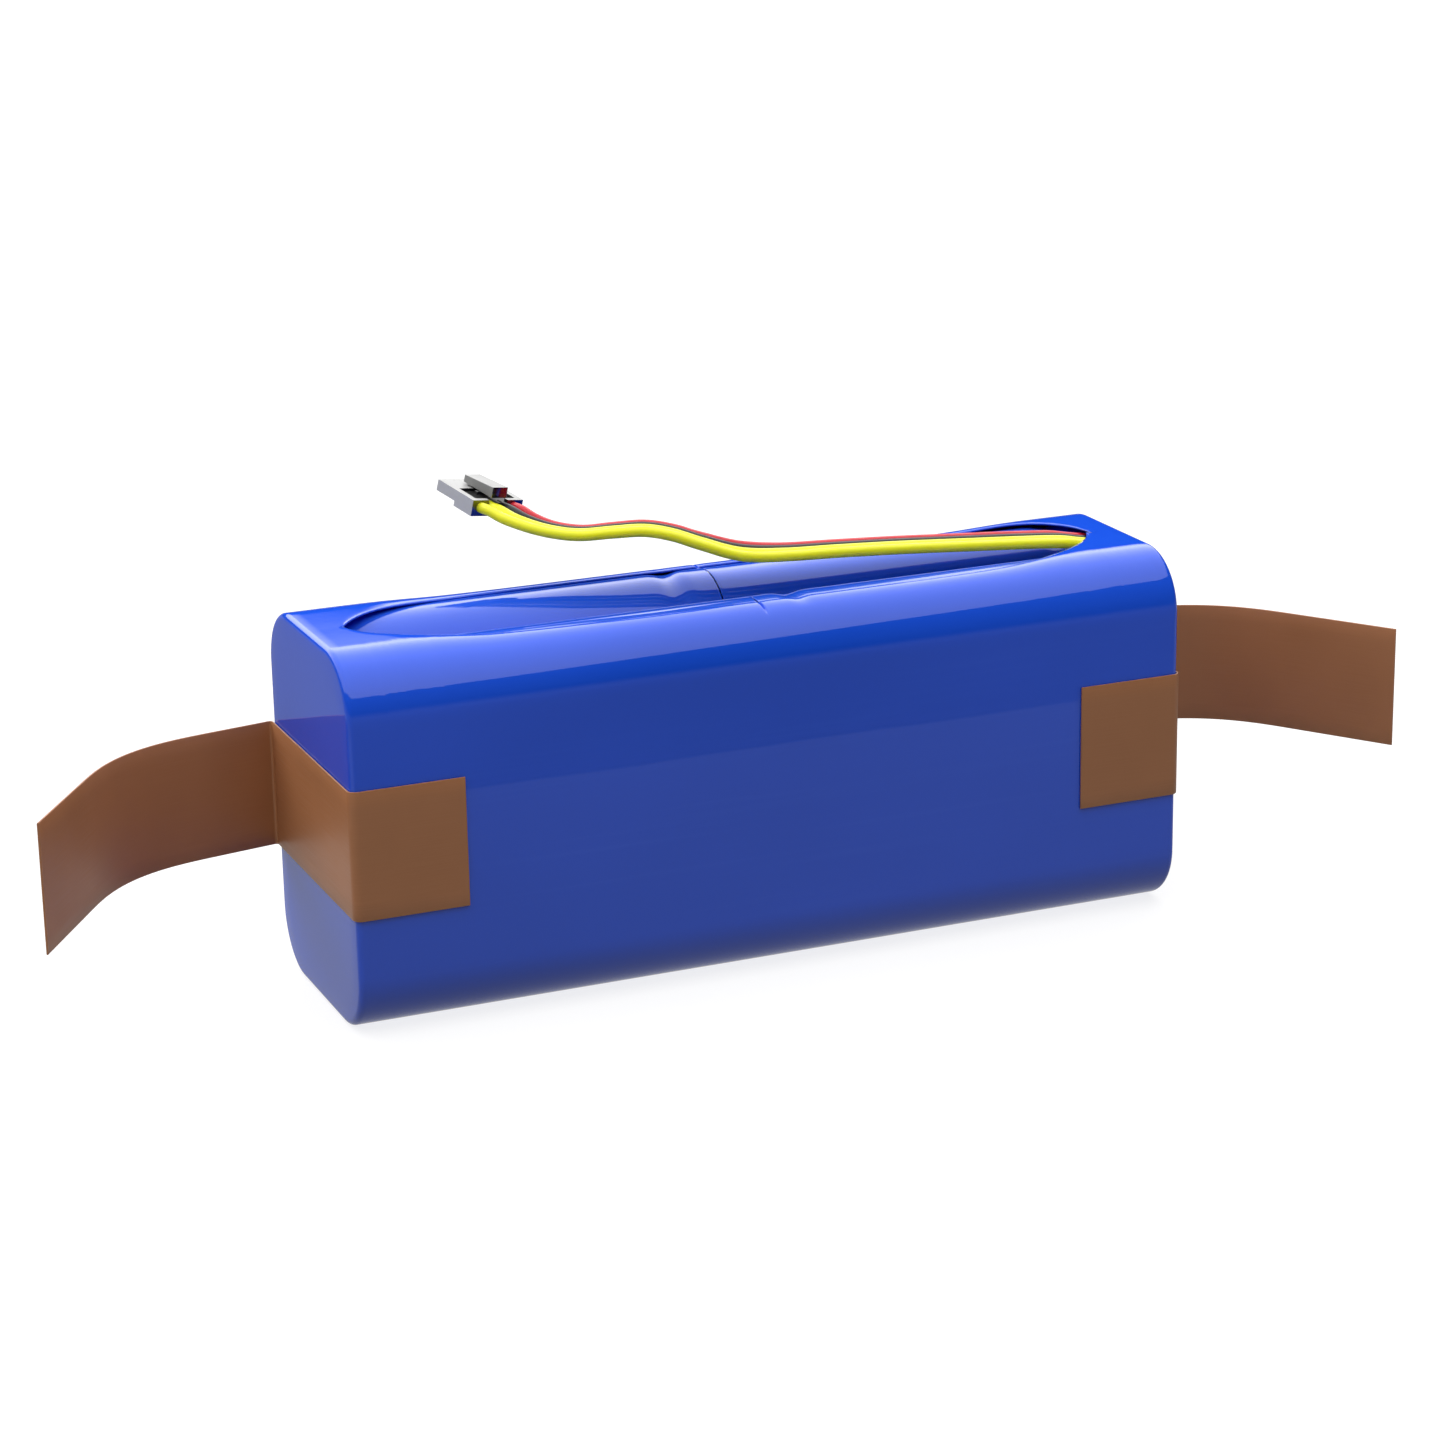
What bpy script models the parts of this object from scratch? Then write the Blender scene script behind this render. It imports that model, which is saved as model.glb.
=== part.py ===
"""Twelve-cell lithium-ion battery pack, 2 cells long, 2 deep and 3 high, in a shrunk film wrap.

X runs along the pack, Y from its front to its back and Z up. The origin is on the surface that
the pack stands on, under the middle of the pack.
"""

import math

import bmesh
import bpy
from mathutils import Euler, Matrix, Vector

MM = 0.001

# Outside of the wrapped pack.
PACK_LENGTH = 134.5 * MM
PACK_DEPTH = 38.9 * MM
PACK_HEIGHT = 57.3 * MM
WRAP_WALL = 0.4 * MM
WRAP_CORNER_RADIUS = 9.3 * MM
WRAP_END_ROUNDING = 1.2 * MM
WRAP_INNER_ROUNDING = 0.7 * MM
CORNER_STEPS = 6

# Openings that the shrunk film leaves over the cells, one on top and a smaller one below.
TOP_OPENING_LENGTH = 122.4 * MM
TOP_OPENING_WIDTH = 23.2 * MM
BOTTOM_OPENING_LENGTH = 104.0 * MM
BOTTOM_OPENING_WIDTH = 15.0 * MM

# Cells, whose sleeves leave a small gap to each other.
CELL_LENGTH = 65.0 * MM
CELL_RADIUS = 9.05 * MM
CELL_SIDES = 16
SLEEVE_RADIUS = 9.2 * MM
SLEEVE_WALL = 0.12 * MM
CELL_PITCH = 18.55 * MM
TOP_CELL_BELOW_WRAP = 10.1 * MM
CELL_SHOULDER = 64.1 * MM
CELL_EDGE = 0.4 * MM
CAP_RADIUS = 3.0 * MM
GROOVE_HEIGHT = 61.2 * MM
GROOVE_DEPTH = 0.65 * MM
GROOVE_HALF_WIDTH = 0.7 * MM

# Stack along X, from the middle nickel plates outwards.
CONTACT_GAP = 0.1 * MM
NICKEL_THICKNESS = 0.15 * MM
RIGHT_CELLS_START = 0.1 * MM
LEFT_CELLS_START = -0.25 * MM
NICKEL_WIDTH = 8.0 * MM
NICKEL_HEIGHT = 45.0 * MM
BRIDGE_SLOT_SIZE = (4.0 * MM, 30.0 * MM)
PLATE_CORNER = 1.5 * MM
END_BOARD_FACE = 66.65 * MM
END_BOARD_CLEARANCE = 0.3 * MM
LEFT_BOARD_THICKNESS = 1.0 * MM
RIGHT_BOARD_THICKNESS = 0.5 * MM
SIDE_PAPER_THICKNESS = 0.2 * MM
SIDE_PAPER_CLEARANCE = 0.15 * MM
SIDE_PAPER_SIZE = (129.0 * MM, 38.0 * MM)
CIRCUIT_BOARD_SIZE = (28.0 * MM, 49.0 * MM, 0.6 * MM)
CIRCUIT_BOARD_TOP = 55.3 * MM

# Temperature sensor in the channel between four cells.
BEAD_MIDDLE = 20.0 * MM
BEAD_LENGTH = 5.0 * MM
BEAD_RADIUS = 1.6 * MM
BEAD_STEPS = 4
BEAD_LEAD_DIAMETER = 1.4 * MM
BEAD_LEAD_SWAY = 0.6 * MM
BEAD_LEAD_WAVES = 1.5
BEAD_LEAD_STEPS = 9

# Fixing straps: stuck to the front and round the end, then free from the back corner on.
STRAP_WIDTH = 19.7 * MM
STRAP_MIDDLE_HEIGHT = 28.65 * MM
STRAP_THICKNESS = 0.3 * MM
STRAP_GLUE_GAP = 0.1 * MM
STRAP_FRONT_LENGTH = 17.1 * MM
STRAP_STUCK_END = 18.3 * MM
TAIL_ROOT = (67.75 * MM, 19.15 * MM)
TAIL_LENGTH = 57.3 * MM
TAIL_BEND_START = 9.7 * MM
TAIL_BEND_END = 39.3 * MM
TAIL_START_ANGLE = math.radians(10.0)
TAIL_END_ANGLE = math.radians(56.7)
TAIL_STEPS = 14

# Lead: four wires side by side, from the circuit board out of the top opening to a connector.
WIRE_DIAMETER = 1.6 * MM
WIRE_PITCH_AT_PACK = 1.75 * MM
WIRE_PITCH_AT_CONNECTOR = 2.0 * MM
WIRE_POINTS = 21
WIRE_NAMES = ("front_yellow_wire", "rear_yellow_wire", "black_wire", "red_wire")
LEAD_ROUTE_MM = (
    (65.1, 0.0, 55.0),
    (62.4, 0.0, 55.6),
    (59.5, 0.0, 56.1),
    (56.0, 0.0, 56.8),
    (50.0, 0.0, 57.4),
    (40.0, 0.0, 58.2),
    (28.7, 0.0, 59.1),
    (18.0, 0.0, 59.8),
    (9.0, 0.1, 60.3),
    (2.0, 0.5, 61.2),
    (-4.0, 1.5, 63.2),
    (-8.0, 2.7, 64.7),
    (-12.0, 4.2, 65.5),
    (-16.5, 6.0, 65.3),
    (-21.0, 8.2, 64.9),
    (-25.0, 10.9, 65.4),
    (-28.2, 14.0, 66.5),
    (-29.8, 16.6, 67.5),
)

# Connector, in its own frame: X across it, Y from the wires to the nose and Z up, with the origin
# on its back face in the middle of the contact row.
CONNECTOR_PLACE = (-30.5 * MM, 18.4 * MM, 67.7 * MM)
CONNECTOR_YAW = math.radians(13.2)
CONNECTOR_PITCH = math.radians(8.6)
CONNECTOR_ROLL = math.radians(8.9)
CONNECTOR_WIDTH = 9.2 * MM
CONNECTOR_LENGTH = 10.0 * MM
CONNECTOR_TOP = 1.15 * MM
CONNECTOR_BOTTOM = -1.4 * MM
NOSE_BOTTOM = -0.6 * MM
NOSE_START = 4.9 * MM
RECESS_FLOOR = 0.7 * MM
RECESS_START = 0.9 * MM
RECESS_END = 5.6 * MM
RIM_WIDTH = 1.0 * MM
CAVITY_WIDTH = 1.2 * MM
CAVITY_HEIGHT = 0.7 * MM
CONTACT_WIDTH = 0.9 * MM
CONTACT_INSET = 0.8 * MM
CONTACT_HALF_HEIGHT = 0.25 * MM
CONTACT_TONGUE_TOP = 0.1 * MM
CONTACT_STEP = (3.6 * MM, 4.2 * MM)
MATING_GAP = 0.3 * MM

# Latch lever over the housing. It rocks on a ridge across the recess.
LATCH_WIDTH = 2.8 * MM
LATCH_LENGTH = 7.9 * MM
LATCH_UNDERSIDE = 1.45 * MM
LATCH_BACK_TOP = 3.2 * MM
LATCH_NOSE_TOP = 2.65 * MM
RIDGE_START = 3.9 * MM
RIDGE_END = 4.5 * MM

TURN_INTO_END_PLANE = Euler((math.radians(90.0), 0.0, math.radians(90.0)))
TURN_UPRIGHT = Euler((math.radians(90.0), 0.0, 0.0))


def clear_scene():
    for old in list(bpy.data.objects):
        bpy.data.objects.remove(old, do_unlink=True)


def new_collection(name):
    collection = bpy.data.collections.new(name)
    bpy.context.scene.collection.children.link(collection)
    return collection


def new_material(name, colour, roughness, metallic=0.0):
    material = bpy.data.materials.new(name)
    material.use_nodes = True
    shader = material.node_tree.nodes["Principled BSDF"]
    shader.inputs["Base Color"].default_value = (*colour, 1.0)
    shader.inputs["Roughness"].default_value = roughness
    shader.inputs["Metallic"].default_value = metallic
    return material


clear_scene()
PACK = new_collection("battery_pack")
CUTTERS = new_collection("cutters")

WRAP_BLUE = new_material("wrap_blue", (0.02, 0.09, 0.62), 0.16)
SLEEVE_BLUE = new_material("sleeve_blue", (0.03, 0.11, 0.6), 0.2)
CAN_STEEL = new_material("can_steel", (0.62, 0.62, 0.6), 0.3, 1.0)
NICKEL = new_material("nickel", (0.66, 0.64, 0.58), 0.32, 1.0)
BOARD_PAPER = new_material("board_paper", (0.55, 0.6, 0.42), 0.8)
BOARD_GREEN = new_material("board_green", (0.03, 0.2, 0.07), 0.4)
TAPE_BROWN = new_material("tape_brown", (0.21, 0.1, 0.045), 0.35)
WIRE_YELLOW = new_material("wire_yellow", (0.9, 0.85, 0.05), 0.4)
WIRE_BLACK = new_material("wire_black", (0.01, 0.01, 0.01), 0.4)
WIRE_RED = new_material("wire_red", (0.8, 0.05, 0.08), 0.4)
WIRE_GREY = new_material("wire_grey", (0.3, 0.3, 0.3), 0.45)
HOUSING_WHITE = new_material("housing_white", (0.72, 0.72, 0.72), 0.35)
CONTACT_TIN = new_material("contact_tin", (0.7, 0.68, 0.62), 0.3, 1.0)
RESIN_BLACK = new_material("resin_black", (0.02, 0.02, 0.025), 0.3)


def add_object(name, data, material=None, collection=PACK):
    item = bpy.data.objects.new(name, data)
    collection.objects.link(item)
    if material and not data.materials:
        data.materials.append(material)
    return item


def rounded_rectangle(width, height, radius, steps=CORNER_STEPS):
    """The outline's points, anticlockwise, with an arc of the given radius at each corner."""
    points = []
    for corner in range(4):
        x_side = 1 if corner in (0, 3) else -1
        y_side = 1 if corner in (0, 1) else -1
        for step in range(steps + 1):
            angle = math.radians(90.0) * (corner + step / steps)
            x = x_side * (width / 2 - radius) + radius * math.cos(angle)
            y = y_side * (height / 2 - radius) + radius * math.sin(angle)
            points.append((x, y))
    return points


def oval(length, width, quarter_steps=12):
    """Half width = width / 2 * (1 - |x / half length|^6)^0.75, closer together near the tips."""
    half = []
    for step in range(2 * quarter_steps + 1):
        along = math.cos(math.pi * step / (2 * quarter_steps))
        half.append((along * length / 2, width / 2 * (1 - abs(along) ** 6) ** 0.75))
    other = [(x, -y) for x, y in reversed(half[1:-1])]
    return half + other


def slab(name, outlines, thickness, material=None, collection=PACK):
    """A plate whose flat outlines lie in its local XY plane; an outline inside another is a hole."""
    curve = bpy.data.curves.new(name, "CURVE")
    curve.dimensions = "2D"
    curve.fill_mode = "BOTH"
    curve.extrude = thickness / 2
    for outline in outlines:
        spline = curve.splines.new("POLY")
        spline.points.add(len(outline) - 1)
        for point, (x, y) in zip(spline.points, outline):
            point.co = (x, y, 0.0, 1.0)
        spline.use_cyclic_u = True
    return add_object(name, curve, material, collection)


def meshed(source):
    """Turns a curve object into a mesh object with welded caps and the same place."""
    bpy.context.view_layer.update()
    graph = bpy.context.evaluated_depsgraph_get()
    mesh = bpy.data.meshes.new_from_object(source.evaluated_get(graph))
    welded = bmesh.new()
    welded.from_mesh(mesh)
    bmesh.ops.remove_doubles(welded, verts=welded.verts, dist=1e-6)
    bmesh.ops.recalc_face_normals(welded, faces=welded.faces)
    welded.to_mesh(mesh)
    welded.free()
    name = source.name
    collection = source.users_collection[0]
    matrix = source.matrix_world.copy()
    bpy.data.objects.remove(source, do_unlink=True)
    result = add_object(name, mesh, collection=collection)
    result.matrix_world = matrix
    return result


def block(name, low, high, material=None, collection=PACK):
    """A box between two corners, given in its own frame."""
    mesh = bpy.data.meshes.new(name)
    shape = bmesh.new()
    bmesh.ops.create_cube(shape, size=1.0)
    size = Vector(high) - Vector(low)
    centre = (Vector(high) + Vector(low)) / 2
    bmesh.ops.transform(shape, matrix=Matrix.Diagonal((*size, 1.0)), verts=shape.verts)
    bmesh.ops.translate(shape, vec=centre, verts=shape.verts)
    shape.to_mesh(mesh)
    shape.free()
    return add_object(name, mesh, material, collection)


def combine(target, other, operation):
    """Cuts the other object from the target, or joins it to it, and keeps the other as a helper."""
    other.hide_render = True
    other.display_type = "WIRE"
    boolean = target.modifiers.new(other.name, "BOOLEAN")
    boolean.operation = operation
    boolean.object = other


def profile_mesh(name, profile, closed):
    """Edges through (radius, height) points, from the top down the outer side."""
    mesh = bpy.data.meshes.new(name)
    count = len(profile)
    edges = [(i, i + 1) for i in range(count - 1)]
    if closed:
        edges.append((count - 1, 0))
    mesh.from_pydata([(radius, 0.0, height) for radius, height in profile], edges, [])
    return mesh


def turned(name, mesh, material, sides):
    """A profile turned about its local Z axis."""
    item = add_object(name, mesh, material)
    screw = item.modifiers.new("turning", "SCREW")
    screw.steps = sides
    screw.render_steps = sides
    screw.use_merge_vertices = True
    screw.merge_threshold = 1e-6
    return item


def tube(name, points, diameter, material):
    """A round wire through the points, with flat ends."""
    curve = bpy.data.curves.new(name, "CURVE")
    curve.dimensions = "3D"
    curve.bevel_depth = diameter / 2
    curve.bevel_resolution = 2
    curve.use_fill_caps = True
    spline = curve.splines.new("POLY")
    spline.points.add(len(points) - 1)
    for point, place in zip(spline.points, points):
        point.co = (*place, 1.0)
    return add_object(name, curve, material)


def ribbon(name, path, material):
    """A strap standing on edge along a path of (x, y) points, thickened evenly to both sides."""
    low = STRAP_MIDDLE_HEIGHT - STRAP_WIDTH / 2
    high = STRAP_MIDDLE_HEIGHT + STRAP_WIDTH / 2
    count = len(path)
    points = [(x, y, z) for z in (low, high) for x, y in path]
    faces = [(i, i + 1, count + i + 1, count + i) for i in range(count - 1)]
    mesh = bpy.data.meshes.new(name)
    mesh.from_pydata(points, [], faces)
    item = add_object(name, mesh, material)
    shell = item.modifiers.new("thickness", "SOLIDIFY")
    shell.thickness = STRAP_THICKNESS
    shell.offset = 0.0
    shell.use_even_offset = True
    return item


def cell_profiles():
    """The can with its crimp groove and raised positive cap, and the sleeve shrunk round it."""
    edge = CELL_EDGE
    groove_radius = CELL_RADIUS - GROOVE_DEPTH
    can = [
        (0.0, CELL_LENGTH),
        (CAP_RADIUS, CELL_LENGTH),
        (CAP_RADIUS, CELL_SHOULDER),
        (CELL_RADIUS - edge, CELL_SHOULDER),
        (CELL_RADIUS, CELL_SHOULDER - edge),
        (CELL_RADIUS, GROOVE_HEIGHT + GROOVE_HALF_WIDTH),
        (groove_radius, GROOVE_HEIGHT),
        (CELL_RADIUS, GROOVE_HEIGHT - GROOVE_HALF_WIDTH),
        (CELL_RADIUS, edge),
        (CELL_RADIUS - edge, 0.0),
        (0.0, 0.0),
    ]
    outer = [
        (SLEEVE_RADIUS, CELL_SHOULDER - edge),
        (SLEEVE_RADIUS, GROOVE_HEIGHT + GROOVE_HALF_WIDTH),
        (SLEEVE_RADIUS - GROOVE_DEPTH, GROOVE_HEIGHT),
        (SLEEVE_RADIUS, GROOVE_HEIGHT - GROOVE_HALF_WIDTH),
        (SLEEVE_RADIUS, edge),
    ]
    inner = [(radius - SLEEVE_WALL, height) for radius, height in reversed(outer)]
    return profile_mesh("cell_can", can, False), profile_mesh("cell_sleeve", outer + inner, True)


def cell_place(side, row, level):
    """Where a cell's negative end lies, and its turn. The caps of the rear row point right and those
    of the front row left, so the four groups run round the pack in series."""
    cap_to_right = row == "rear"
    if side == "right":
        low, high = RIGHT_CELLS_START, RIGHT_CELLS_START + CELL_LENGTH
    else:
        low, high = LEFT_CELLS_START - CELL_LENGTH, LEFT_CELLS_START
    across = CELL_PITCH / 2 if row == "rear" else -CELL_PITCH / 2
    height = PACK_HEIGHT - TOP_CELL_BELOW_WRAP - level * CELL_PITCH
    turn = math.radians(90.0 if cap_to_right else -90.0)
    return (low if cap_to_right else high, across, height), Euler((0.0, turn, 0.0))


def make_cells():
    can_mesh, sleeve_mesh = cell_profiles()
    for side in ("left", "right"):
        for row in ("front", "rear"):
            for level, level_name in enumerate(("top", "middle", "bottom")):
                place, turn = cell_place(side, row, level)
                for kind, mesh, material in (
                    ("can", can_mesh, CAN_STEEL),
                    ("sleeve", sleeve_mesh, SLEEVE_BLUE),
                ):
                    name = f"cell_{kind}_{side}_{row}_{level_name}"
                    item = turned(name, mesh, material, CELL_SIDES)
                    item.location = place
                    item.rotation_euler = turn


def end_plate(name, outlines, faces, across, height, material):
    """A plate across the pack, whose two faces are at the given places along X."""
    item = slab(name, outlines, abs(faces[1] - faces[0]), material)
    item.location = ((faces[0] + faces[1]) / 2, across, height)
    item.rotation_euler = TURN_INTO_END_PLANE


def make_nickel():
    """Five welded plates join four groups of three cells in series. The one that bridges both rows
    has a long slot down its middle."""
    middle_height = PACK_HEIGHT - TOP_CELL_BELOW_WRAP - CELL_PITCH
    strip = rounded_rectangle(NICKEL_WIDTH, NICKEL_HEIGHT, PLATE_CORNER, 2)
    bridge = rounded_rectangle(CELL_PITCH + NICKEL_WIDTH, NICKEL_HEIGHT, PLATE_CORNER, 2)
    slot = rounded_rectangle(*BRIDGE_SLOT_SIZE, PLATE_CORNER, 2)
    left = LEFT_CELLS_START - CELL_LENGTH - CONTACT_GAP
    right = RIGHT_CELLS_START + CELL_LENGTH + CONTACT_GAP
    left_faces = (left - NICKEL_THICKNESS, left)
    right_faces = (right, right + NICKEL_THICKNESS)
    middle_faces = (LEFT_CELLS_START + CONTACT_GAP, RIGHT_CELLS_START - CONTACT_GAP)
    front, rear = -CELL_PITCH / 2, CELL_PITCH / 2
    for name, outlines, faces, across in (
        ("left_end_bridge_plate", (bridge, slot), left_faces, 0.0),
        ("front_middle_plate", (strip,), middle_faces, front),
        ("rear_middle_plate", (strip,), middle_faces, rear),
        ("front_negative_plate", (strip,), right_faces, front),
        ("rear_positive_plate", (strip,), right_faces, rear),
    ):
        end_plate(name, outlines, faces, across, middle_height, NICKEL)


def make_insulation():
    """Two full-size end boards, and a sheet of paper behind the wrap at the front and the back."""
    inside = 2 * (WRAP_WALL + END_BOARD_CLEARANCE)
    radius = WRAP_CORNER_RADIUS - WRAP_WALL - END_BOARD_CLEARANCE
    outline = rounded_rectangle(PACK_DEPTH - inside, PACK_HEIGHT - inside, radius)
    for name, faces in (
        ("left_end_board", (-END_BOARD_FACE, LEFT_BOARD_THICKNESS - END_BOARD_FACE)),
        ("right_end_board", (END_BOARD_FACE - RIGHT_BOARD_THICKNESS, END_BOARD_FACE)),
    ):
        end_plate(name, (outline,), faces, 0.0, PACK_HEIGHT / 2, BOARD_PAPER)
    sheet = rounded_rectangle(*SIDE_PAPER_SIZE, PLATE_CORNER, 2)
    distance = PACK_DEPTH / 2 - WRAP_WALL - SIDE_PAPER_CLEARANCE - SIDE_PAPER_THICKNESS / 2
    for name, across in (("front_side_paper", -distance), ("rear_side_paper", distance)):
        paper = slab(name, (sheet,), SIDE_PAPER_THICKNESS, BOARD_PAPER)
        paper.location = (0.0, across, PACK_HEIGHT / 2)
        paper.rotation_euler = TURN_UPRIGHT


def make_circuit_board():
    """The protection board, outside the right end's nickel plates."""
    width, height, thickness = CIRCUIT_BOARD_SIZE
    inner = RIGHT_CELLS_START + CELL_LENGTH + 2 * CONTACT_GAP + NICKEL_THICKNESS
    outline = rounded_rectangle(width, height, PLATE_CORNER, 2)
    middle = CIRCUIT_BOARD_TOP - height / 2
    end_plate("protection_board", (outline,), (inner, inner + thickness), 0.0, middle, BOARD_GREEN)


def make_thermistor():
    """A resin bead in the channel between four cells, and its twin lead to the board. The bead is
    a cylinder with round ends, and the lead sways from side to side in the channel."""
    channel_height = PACK_HEIGHT - TOP_CELL_BELOW_WRAP - CELL_PITCH / 2
    straight = BEAD_LENGTH / 2 - BEAD_RADIUS
    quarter = []
    for step in range(BEAD_STEPS + 1):
        angle = math.radians(90.0) * (1 - step / BEAD_STEPS)
        radius = BEAD_RADIUS * math.cos(angle) if step else 0.0
        quarter.append((radius, straight + BEAD_RADIUS * math.sin(angle)))
    profile = quarter + [(radius, -height) for radius, height in reversed(quarter)]
    mesh = profile_mesh("thermistor_bead", profile, False)
    bead = turned("thermistor_bead", mesh, RESIN_BLACK, 3 * BEAD_STEPS)
    bead.location = (BEAD_MIDDLE, 0.0, channel_height)
    bead.rotation_euler = (0.0, math.radians(90.0), 0.0)
    start = BEAD_MIDDLE + BEAD_LENGTH / 2 + MATING_GAP
    end = RIGHT_CELLS_START + CELL_LENGTH
    points = []
    for step in range(BEAD_LEAD_STEPS + 1):
        along = step / BEAD_LEAD_STEPS
        sway = BEAD_LEAD_SWAY * math.sin(2 * math.pi * BEAD_LEAD_WAVES * along)
        points.append((start + (end - start) * along, sway, channel_height))
    tube("thermistor_lead", points, BEAD_LEAD_DIAMETER, WIRE_GREY)


def film_block(name, inset, rounding, collection):
    """A block with rounded long edges, inset from the pack's outside on every side, whose ends meet
    the sides in a rounding. A bevelled curve grows by its bevel, so its outline is that much less."""
    inward = 2 * (inset + rounding)
    radius = WRAP_CORNER_RADIUS - inset - rounding
    outline = rounded_rectangle(PACK_DEPTH - inward, PACK_HEIGHT - inward, radius)
    item = slab(name, (outline,), PACK_LENGTH - inward, WRAP_BLUE, collection)
    item.data.bevel_depth = rounding
    item.data.bevel_resolution = 1
    item.location = (0.0, 0.0, PACK_HEIGHT / 2)
    item.rotation_euler = TURN_INTO_END_PLANE
    return meshed(item)


def make_wrap():
    """The shrunk film: a hollow block, open in an oval over and under the cells."""
    wrap = film_block("shrink_wrap", 0.0, WRAP_END_ROUNDING, PACK)
    inside = film_block("wrap_inside", WRAP_WALL, WRAP_INNER_ROUNDING, CUTTERS)
    combine(wrap, inside, "DIFFERENCE")
    for name, length, width, height in (
        ("top_opening", TOP_OPENING_LENGTH, TOP_OPENING_WIDTH, PACK_HEIGHT),
        ("bottom_opening", BOTTOM_OPENING_LENGTH, BOTTOM_OPENING_WIDTH, 0.0),
    ):
        cutter = slab(name, (oval(length, width),), 4.0 * MM, collection=CUTTERS)
        cutter.location.z = height
        combine(wrap, meshed(cutter), "DIFFERENCE")


def stuck_path():
    """The stuck stretch's middle line on the right: the front, the corner arc, then the end face."""
    lift = STRAP_GLUE_GAP + STRAP_THICKNESS / 2
    corner_x = PACK_LENGTH / 2 - WRAP_END_ROUNDING
    corner_y = -PACK_DEPTH / 2 + WRAP_END_ROUNDING
    radius = WRAP_END_ROUNDING + lift
    steps = 4
    path = [(PACK_LENGTH / 2 - STRAP_FRONT_LENGTH, -PACK_DEPTH / 2 - lift)]
    for step in range(steps + 1):
        angle = math.radians(90.0) * (step / steps - 1)
        path.append((corner_x + radius * math.cos(angle), corner_y + radius * math.sin(angle)))
    path.append((PACK_LENGTH / 2 + lift, STRAP_STUCK_END))
    return path


def tail_path():
    """The free tail's middle line on the right, from its root. Its heading turns towards the front
    by a smooth step between the two ends of the bend."""
    x, y = 0.0, 0.0
    path = [(x, y)]
    substeps = 8
    count = TAIL_STEPS * substeps
    for step in range(count):
        travelled = (step + 0.5) * TAIL_LENGTH / count
        share = (travelled - TAIL_BEND_START) / (TAIL_BEND_END - TAIL_BEND_START)
        share = min(max(share, 0.0), 1.0)
        turn = share * share * (3 - 2 * share)
        heading = TAIL_START_ANGLE + (TAIL_END_ANGLE - TAIL_START_ANGLE) * turn
        x += math.cos(heading) * TAIL_LENGTH / count
        y -= math.sin(heading) * TAIL_LENGTH / count
        if (step + 1) % substeps == 0:
            path.append((x, y))
    return path


def make_straps():
    """Both straps. The tails hang on an empty at the crease where they can fold."""
    for side, mirror in (("left", -1.0), ("right", 1.0)):
        ribbon(f"{side}_strap_stuck", [(mirror * x, y) for x, y in stuck_path()], TAPE_BROWN)
        crease = bpy.data.objects.new(f"{side}_strap_crease", None)
        PACK.objects.link(crease)
        crease.location = (mirror * TAIL_ROOT[0], TAIL_ROOT[1], 0.0)
        tail = ribbon(f"{side}_strap_tail", [(mirror * x, y) for x, y in tail_path()], TAPE_BROWN)
        tail.parent = crease


def smooth_through(points, count):
    """Evenly spaced points on the Catmull-Rom curve through the given points."""
    ends = [2 * points[0] - points[1], *points, 2 * points[-1] - points[-2]]
    fine = [points[0].copy()]
    substeps = 12
    for before, start, end, after in zip(ends, ends[1:], ends[2:], ends[3:]):
        for step in range(1, substeps + 1):
            t = step / substeps
            place = 2 * start + (end - before) * t
            place += (2 * before - 5 * start + 4 * end - after) * t * t
            place += (3 * start - before - 3 * end + after) * t ** 3
            fine.append(place / 2)
    lengths = [0.0]
    for here, there in zip(fine, fine[1:]):
        lengths.append(lengths[-1] + (there - here).length)
    spaced = []
    index = 0
    for step in range(count):
        wanted = lengths[-1] * step / (count - 1)
        while index < len(fine) - 2 and lengths[index + 1] < wanted:
            index += 1
        share = (wanted - lengths[index]) / (lengths[index + 1] - lengths[index])
        spaced.append(fine[index].lerp(fine[index + 1], min(share, 1.0)))
    return spaced


def connector_matrix():
    turn = Matrix.Rotation(CONNECTOR_YAW, 4, "Z") @ Matrix.Rotation(CONNECTOR_PITCH, 4, "X")
    turn = turn @ Matrix.Rotation(CONNECTOR_ROLL, 4, "Y")
    return Matrix.Translation(CONNECTOR_PLACE) @ turn


def make_wires():
    """Four wires side by side. Across the lead, the row of wires leans over little by little, from
    level at the pack to the connector's own roll."""
    frame = connector_matrix()
    end = frame @ Vector((0.0, -MATING_GAP, 0.0))
    middle = smooth_through([Vector(p) * MM for p in LEAD_ROUTE_MM] + [end], WIRE_POINTS)
    last_across = (frame.to_3x3() @ Vector((1.0, 0.0, 0.0))).normalized()
    last = len(middle) - 1
    materials = (WIRE_YELLOW, WIRE_YELLOW, WIRE_BLACK, WIRE_RED)
    for number, (name, material) in enumerate(zip(WIRE_NAMES, materials)):
        points = []
        for index, place in enumerate(middle):
            share = index / last
            along = middle[min(index + 1, last)] - middle[max(index - 1, 0)]
            across = Vector((0.0, 0.0, 1.0)).cross(along).normalized() * -1.0
            across = Matrix.Rotation(CONNECTOR_ROLL * share ** 3, 3, along) @ across
            if index == last:
                across = last_across
            pitch = WIRE_PITCH_AT_PACK
            pitch += (WIRE_PITCH_AT_CONNECTOR - WIRE_PITCH_AT_PACK) * share ** 4
            points.append(place + across * pitch * (number - 1.5))
        tube(name, points, WIRE_DIAMETER, material)


def side_profile(name, outline, width, material=None, collection=PACK):
    """An outline of (y, z) points in the connector's frame, given its width across the connector."""
    item = slab(name, (outline,), width, material, collection)
    item.matrix_world = connector_matrix() @ TURN_INTO_END_PLANE.to_matrix().to_4x4()
    return item


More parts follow.
